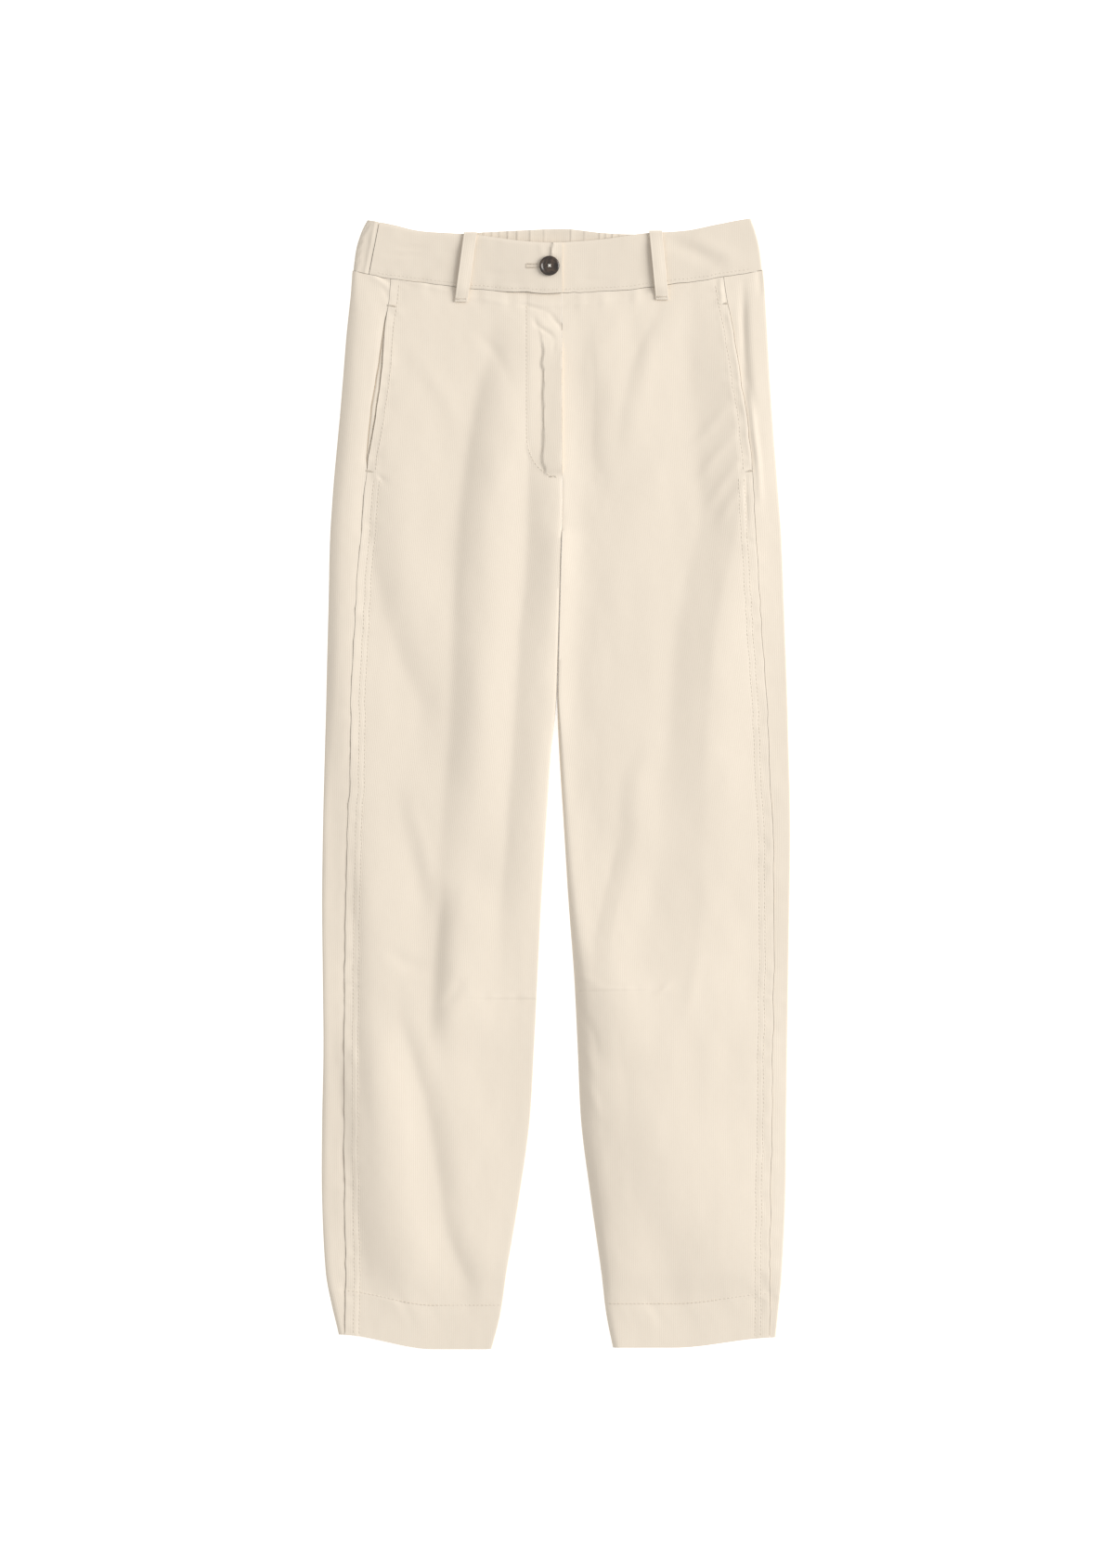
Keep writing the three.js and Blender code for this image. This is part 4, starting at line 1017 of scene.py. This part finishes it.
def seam_stitches(side):
    """Double row beside the forward seam, single rows along the pocket's mouth and the hem."""
    courses = []
    low = np.arange(HEM_Y + 2, POCKET_BOTTOM - 4, 2.0)
    for away in SEAM_ROWS:
        x = side.seam(low) - side.out * (SEAM_GAP / 2 + away)
        courses.append(stitched(on_front(side, x, low)))
    mouth = np.arange(POCKET_BOTTOM, WAIST_SEAM_Y - 2, 2.0)
    x = side.seam(mouth) - side.out * (SEAM_GAP / 2 + gape(side, mouth) / 2 + SEAM_ROWS[0])
    courses.append(stitched(on_front(side, x, mouth)))
    edge_seam = side.seam_line(HEM_Y) - side.out * 2
    x = np.linspace(edge_seam, side.inner(HEM_Y + HEM_DEPTH) + side.out * 2, 90)
    y = np.full_like(x, HEM_Y + HEM_DEPTH)
    path = on_front(side, x, y)
    path[:, 1] = hem_line(side, x) + HEM_DEPTH
    courses.append(stitched(path))
    return stitch_mesh(f"stitches_front_{side.name}", courses)


def fly_stitches():
    """The fly's J."""
    straight = np.arange(WAIST_SEAM_Y - 12, FLY_CURVE_TOP, -2.0)
    bend = np.linspace(0, math.pi / 2 - 0.05, 24)
    y = np.concatenate([straight, FLY_CURVE_TOP - (FLY_CURVE_TOP - FLY_BOTTOM) * np.sin(bend)])
    x = fly_line(y)
    return stitch_mesh("stitches_fly", [stitched(on_front(LEFT, x, y))])


def bartack(centre, direction, length, width):
    """A dense bar of short threads across a seam's end."""
    centre = np.array(centre, dtype=float)
    d = np.array([direction[0], direction[1], 0.0])
    d /= np.linalg.norm(d)
    across = np.array([-d[1], d[0], 0.0])
    count = max(3, int(length / TACK_PITCH))
    spots = centre + d * (np.arange(count)[:, None] - (count - 1) / 2) * TACK_PITCH
    return spots, np.repeat(across[None, :], count, 0), width, TACK_RADIUS


def bartacks():
    """Bars at the pockets' ends, at the foot of the fly and on the belt loops."""
    courses = []
    for side in (LEFT, RIGHT):
        for level in (POCKET_TOP + 1.0, POCKET_BOTTOM - 1.0):
            x = side.seam(level) - side.out * 3.0
            z = float(front_height(side, x, level)) + 0.15
            y = float(fit_level(side, x, level, waist_seam))
            courses.append(bartack((x, y, z), (1, 0.15 * side.out), 8.0, 2.0))
    x = fly_line(FLY_BOTTOM + 3.0) + 4
    y = FLY_BOTTOM + 1.5
    courses.append(bartack((x, y, float(front_height(LEFT, x, y)) + 0.15), (1, 0.1), 6.0, 2.0))
    for row in LOOPS:
        middle = (row["top_x"] + row["foot_x"]) / 2
        bottom = waist_seam(middle) - LOOP_BELOW + 2.0
        x = row["foot_x"]
        z = float(loop_ground(row["side"], x, bottom)) + LOOP_THICK + 0.05
        courses.append(bartack((x, bottom, z), (1, 0.0), LOOP_WIDTH - 2.0, 1.8))
    return stitch_mesh("bartacks", courses)


def band_stitches():
    """Stitches along the foot of the front waistband."""
    courses = []
    for side, start, end in ((LEFT, -158.0, 3.0), (RIGHT, 7.0, 172.0)):
        x = np.linspace(start, end, 110)
        v = np.full_like(x, BAND_ROW / BAND_DEPTH)
        y = waist_seam(x) + SEAM_GAP / 2 + BAND_ROW
        if side is LEFT:
            z = band_ground(LEFT, x, y) + band_relief(x, y, v, 91)
        else:
            z = BAND_LIFT + band_relief(x, y, v, 95)
        courses.append(stitched(np.stack([x, y, z], axis=-1)))
    return stitch_mesh("stitches_band", courses)


def buttonhole():
    """The buttonhole's close stitches round its slit, which runs left from under the button."""
    left, right, half_width = -26.0, -4.0, 1.5
    level = BAND_LIFT + OVERLAP_RAISE + 0.12
    along = np.arange(left, right, 0.62)
    flat = np.full_like(along, level)
    courses = []
    for sign in (-1, 1):
        centre = np.stack([along, np.full_like(along, BUTTON_Y + sign * half_width), flat], axis=1)
        direction = np.repeat([[0.12, 1.0, 0.0]], len(along), 0)
        courses.append((centre, direction, 2.0, HOLE_THREAD))
    bar = np.arange(-1.9, 2.0, 0.6)
    centre = np.stack([np.full_like(bar, left - 0.6), BUTTON_Y + bar, np.full_like(bar, level)], axis=1)
    courses.append((centre, np.repeat([[1.0, 0.0, 0.0]], len(bar), 0), 1.6, HOLE_THREAD))
    return stitch_mesh("buttonhole", courses)


BUTTON_PROFILE = [
    (0.0, 0.0), (0.60, 0.0), (0.80, 0.05), (0.93, 0.20), (0.99, 0.42), (1.0, 0.56), (0.985, 0.74), (0.95, 0.88),
    (0.90, 0.97), (0.85, 1.0), (0.80, 0.975), (0.76, 0.90), (0.71, 0.80), (0.62, 0.735), (0.45, 0.70), (0.25, 0.685),
    (0.0, 0.68),
]
HOLE_RING = 1.45
HOLE_RADIUS = 0.72


def apply_modifiers(piece):
    """Replaces a piece's mesh by its evaluated one."""
    depsgraph = bpy.context.evaluated_depsgraph_get()
    mesh = bpy.data.meshes.new_from_object(piece.evaluated_get(depsgraph))
    piece.modifiers.clear()
    piece.data = mesh


def button():
    """A turned disc with a raised rim, a dished middle and four holes."""
    ground = BAND_LIFT + OVERLAP_RAISE + SEAM_GAP
    spin = 72
    bm = bmesh.new()
    rings = []
    for r, h in BUTTON_PROFILE:
        z = (ground + h * BUTTON_THICK) * MM
        if r == 0:
            rings.append([bm.verts.new((BUTTON_X * MM, BUTTON_Y * MM, z))])
            continue
        ring = []
        for k in range(spin):
            a = 2 * math.pi * k / spin
            ring.append(bm.verts.new(((BUTTON_X + r * BUTTON_RADIUS * math.cos(a)) * MM,
                                      (BUTTON_Y + r * BUTTON_RADIUS * math.sin(a)) * MM, z)))
        rings.append(ring)
    for lower, upper in zip(rings[:-1], rings[1:]):
        for k in range(spin):
            a, b = lower[k % len(lower)], lower[(k + 1) % len(lower)]
            c, d = upper[(k + 1) % len(upper)], upper[k % len(upper)]
            corners = [a]
            for corner in (b, c, d):
                if corner not in corners:
                    corners.append(corner)
            bm.faces.new(corners)
    bmesh.ops.recalc_face_normals(bm, faces=bm.faces)
    mesh = bpy.data.meshes.new("button_disc")
    bm.to_mesh(mesh)
    bm.free()
    disc = add_object("button_disc", mesh)
    cutters = bmesh.new()
    for k in range(4):
        a = math.pi / 4 + k * math.pi / 2
        hole = bmesh.ops.create_cone(cutters, cap_ends=True, segments=20, radius1=HOLE_RADIUS * MM,
                                     radius2=HOLE_RADIUS * MM, depth=0.02)
        shift = ((BUTTON_X + HOLE_RING * math.cos(a)) * MM, (BUTTON_Y + HOLE_RING * math.sin(a)) * MM, ground * MM)
        bmesh.ops.translate(cutters, verts=hole["verts"], vec=shift)
    cutter_mesh = bpy.data.meshes.new("holes")
    cutters.to_mesh(cutter_mesh)
    cutters.free()
    holes = add_object("holes", cutter_mesh)
    cut = disc.modifiers.new("holes", "BOOLEAN")
    cut.operation = "DIFFERENCE"
    cut.object = holes
    apply_modifiers(disc)
    bpy.data.objects.remove(holes)
    disc.data.shade_smooth()
    disc.data.set_sharp_from_angle(angle=math.radians(35))
    return disc


def button_thread():
    """Thread crossed through the button's four holes."""
    top = BAND_LIFT + OVERLAP_RAISE + SEAM_GAP + BUTTON_PROFILE[-1][1] * BUTTON_THICK + 0.1
    centre, direction = [], []
    for a in (math.pi / 4, 3 * math.pi / 4):
        d = np.array([math.cos(a), math.sin(a), 0.0])
        across = np.array([-d[1], d[0], 0.0])
        for shift in (-0.35, 0.0, 0.35):
            centre.append(np.array([BUTTON_X, BUTTON_Y, top + 0.15 * (shift == 0)]) + across * shift)
            direction.append(d)
    return stitch_mesh("button_thread", [(np.array(centre), np.array(direction), 2.5 * HOLE_RING, 0.24)])


class Nodes:
    """Short helper to build a material's node tree."""

    def __init__(self, name):
        self.material = bpy.data.materials.new(name)
        self.material.use_nodes = True
        self.tree = self.material.node_tree
        self.tree.nodes.clear()
        self.shader = self.add("ShaderNodeBsdfPrincipled")
        output = self.add("ShaderNodeOutputMaterial")
        self.link(self.shader.outputs[0], output.inputs[0])

    def add(self, kind, **inputs):
        node = self.tree.nodes.new(kind)
        for key, value in inputs.items():
            self.put(node.inputs[key.replace("_", " ")], value)
        return node

    def put(self, socket, value):
        if isinstance(value, bpy.types.NodeSocket):
            self.link(value, socket)
        else:
            socket.default_value = value

    def link(self, a, b):
        self.tree.links.new(a, b)

    def surface(self, **inputs):
        """Sets or links the shader's inputs."""
        for key, value in inputs.items():
            self.put(self.shader.inputs[key.replace("_", " ")], value)

    def grain(self):
        """The cloth's own coordinates."""
        uv = self.add("ShaderNodeUVMap")
        uv.uv_map = "grain"
        return uv.outputs[0]

    def noise(self, vector, scale, detail, **more):
        return self.add("ShaderNodeTexNoise", Vector=vector, Scale=scale, Detail=detail, **more).outputs[0]

    def bump(self, strength, distance, height):
        node = self.add("ShaderNodeBump", Strength=strength, Distance=distance, Height=height)
        self.surface(Normal=node.outputs[0])

    def math(self, operation, a, b=None, c=None):
        node = self.tree.nodes.new("ShaderNodeMath")
        node.operation = operation
        for k, value in enumerate((a, b, c)):
            if value is not None:
                self.put(node.inputs[k], value)
        return node.outputs[0]

    def colour_mix(self, share, a, b, blend="MIX"):
        node = self.tree.nodes.new("ShaderNodeMix")
        node.data_type = "RGBA"
        node.blend_type = blend
        self.put(node.inputs["Factor"], share)
        self.put(node.inputs["A"], a)
        self.put(node.inputs["B"], b)
        return node.outputs["Result"]


def rgba(colour, gain=1.0):
    return (*(c * gain for c in colour), 1.0)


def corduroy(name, gain=1.0):
    """Fine corduroy: raised wales along the grain with painted shade in the grooves between them, worn cut pile,
    soft sheen.
    """
    n = Nodes(name)
    grain = n.grain()
    split = n.add("ShaderNodeSeparateXYZ", Vector=grain)
    u, v = split.outputs[0], split.outputs[1]
    drift = n.noise(grain, 38.0, 2.0)
    shifted = n.math("ADD", u, n.math("MULTIPLY", n.math("SUBTRACT", drift, 0.5), 0.0014))
    phase = n.math("MULTIPLY", shifted, 2 * math.pi / (WALE_PITCH * MM))
    wale = n.math("MULTIPLY_ADD", n.math("SINE", phase), 0.5, 0.5)
    wale = n.math("POWER", wale, 0.6)
    stretched = n.add("ShaderNodeCombineXYZ", X=u, Y=n.math("MULTIPLY", v, 0.35)).outputs[0]
    pile = n.noise(stretched, 1400.0, 3.0, Roughness=0.7)
    fleck = n.noise(stretched, 420.0, 2.0)
    broad = n.noise(grain, 14.0, 2.0)
    patch = n.noise(grain, 55.0, 2.0)
    height = n.math("ADD", n.math("MULTIPLY", wale, 0.8), n.math("MULTIPLY", pile, 0.35))
    height = n.math("ADD", height, n.math("MULTIPLY", fleck, 0.25))
    # Painted shade: the grooves between the wales are darkened in the colour towards a deeper brown, more in some
    # patches than in others.
    groove = n.math("SUBTRACT", 1.0, wale)
    shade = n.math("MULTIPLY", groove, n.math("MULTIPLY_ADD", patch, 0.09, -0.014))
    tint = n.math("MULTIPLY", n.math("SUBTRACT", broad, 0.35), 0.14)
    nap = n.math("MULTIPLY", n.math("SUBTRACT", fleck, 0.4), 0.2)
    colour = rgba(CLOTH_COLOUR, gain)
    for share, other in ((shade, (0.60, 0.50, 0.39)), (tint, (0.86, 0.77, 0.66)), (nap, (0.66, 0.56, 0.45))):
        colour = n.colour_mix(share, colour, rgba(other))
    n.bump(0.2, 0.0003, height)
    n.surface(Base_Color=colour, Roughness=0.93, Specular_IOR_Level=0.18)
    n.surface(Sheen_Weight=0.22, Sheen_Roughness=0.55, Sheen_Tint=rgba((1.0, 0.96, 0.9)))
    return n.material


def thread_material(name, colour):
    """Twisted cotton thread."""
    n = Nodes(name)
    twist = n.add("ShaderNodeTexWave", Vector=n.grain(), Scale=900.0, Distortion=0.4)
    twist.bands_direction = "DIAGONAL"
    shade = n.math("MULTIPLY", twist.outputs[1], 0.22)
    n.bump(0.4, 0.0001, twist.outputs[1])
    n.surface(Base_Color=n.colour_mix(shade, rgba(colour), rgba(colour, 0.7)), Roughness=0.7, Sheen_Weight=0.15)
    return n.material


def horn_material():
    """Dark polished horn with a faint cloudy grain."""
    n = Nodes("button_horn")
    own = n.add("ShaderNodeTexCoord").outputs["Object"]
    cloud = n.noise(own, 160.0, 6.0, Distortion=1.6)
    streak = n.noise(own, 900.0, 3.0)
    share = n.math("MULTIPLY", n.math("SMOOTH_MIN", n.math("SUBTRACT", cloud, 0.42), 0.35, 0.1), 2.4)
    colour = n.colour_mix(share, rgba(BUTTON_COLOUR), rgba((0.11, 0.068, 0.044)))
    n.bump(0.12, 0.0001, streak)
    n.surface(Base_Color=colour, Roughness=n.math("MULTIPLY_ADD", streak, 0.18, 0.20))
    n.surface(Coat_Weight=0.4, Coat_Roughness=0.12)
    return n.material


def dress(piece, material, slot, *nodes):
    """Gives a piece its material, puts it under the root body and hides the CAD nodes that it stands for; slot is
    not used.
    """
    piece.data.materials.clear()
    piece.data.materials.append(material)
    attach(piece, "root")
    if nodes:
        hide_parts(*nodes)
    return piece


def build_garment():
    """Every piece with its material and body."""
    cord = corduroy("corduroy_cream")
    back_cord = corduroy("corduroy_side", gain=1.003)
    band_cord = corduroy("corduroy_band", gain=0.96)
    inner_cord = corduroy("corduroy_inside", gain=0.925)
    thread = thread_material("thread_cream", THREAD_COLOUR)
    pale_thread = thread_material("thread_pale", (0.86, 0.82, 0.75))
    fronts, backs, facings = {}, {}, {}
    for side in (LEFT, RIGHT):
        name = side.name
        fronts[name] = dress(front_panel(side), cord, "corduroy", f"front_panel_{name}")
        backs[name] = dress(back_panel(side), back_cord, "corduroy", f"back_panel_{name}")
        facings[name] = dress(pocket_facing(side), cord, "corduroy", f"pocket_facing_{name}")
    band_left = dress(front_band_left(), band_cord, "corduroy_band", "waistband_front_left")
    band_right = dress(front_band_right(), band_cord, "corduroy_band", "waistband_front_right")
    band_back = dress(back_band(), inner_cord, "corduroy_band", "waistband_back")
    loops = [dress(belt_loop(row), band_cord, "corduroy_band", f"belt_loop_{row['side'].name}") for row in LOOPS]
    dress(button(), horn_material(), "button", "button")
    dress(button_thread(), pale_thread, "button")
    for piece in (seam_stitches(LEFT), seam_stitches(RIGHT), fly_stitches(), bartacks()):
        dress(piece, thread, "corduroy")
    for piece in (band_stitches(), buttonhole()):
        dress(piece, thread, "corduroy_band")


def floor():
    """The pale surface that the garment lies on."""
    mesh = bpy.data.meshes.new("floor")
    reach = 30.0
    drop = -0.0003
    corners = [(-reach, -reach, drop), (reach, -reach, drop), (reach, reach, drop), (-reach, reach, drop)]
    mesh.from_pydata(corners, [], [(0, 1, 2, 3)])
    ground = add_object("floor", mesh)
    n = Nodes("floor_white")
    n.surface(Base_Color=rgba((0.93, 0.93, 0.93)), Roughness=0.9, Specular_IOR_Level=0.0)
    n.surface(Emission_Color=rgba((1.0, 1.0, 1.0)), Emission_Strength=0.5)
    mesh.materials.append(n.material)


def key_light(place, size, power):
    """A square area light that faces the garment's middle."""
    data = bpy.data.lights.new("key", "AREA")
    data.shape = "RECTANGLE"
    data.size = size
    data.size_y = size
    data.energy = power
    light = add_object("key", data)
    light.location = place
    x, y, z = place
    light.rotation_euler = (0, -math.atan2(math.hypot(x, y), z), math.atan2(-y, -x))


def studio():
    """Soft light from the right and a little from the top, over a bright surround."""
    scene = bpy.context.scene
    world = bpy.data.worlds.new("surround")
    scene.world = world
    world.use_nodes = True
    background = world.node_tree.nodes["Background"]
    background.inputs[0].default_value = (1, 1, 1, 1)
    background.inputs[1].default_value = 0.62
    key_light((6.8, 1.8, 4.6), 5.2, 680)
    camera_data = bpy.data.cameras.new("camera")
    camera_data.sensor_width = 36.0
    camera_data.lens = 36.0 * CAMERA_HEIGHT / FRAME_HEIGHT
    camera_data.clip_end = 100.0
    camera = add_object("camera", camera_data)
    camera.location = (FRAME_CENTRE_X * MM, 0.0, CAMERA_HEIGHT * MM)
    scene.camera = camera
    scene.view_settings.view_transform = "Standard"


studio()
floor()
build_garment()
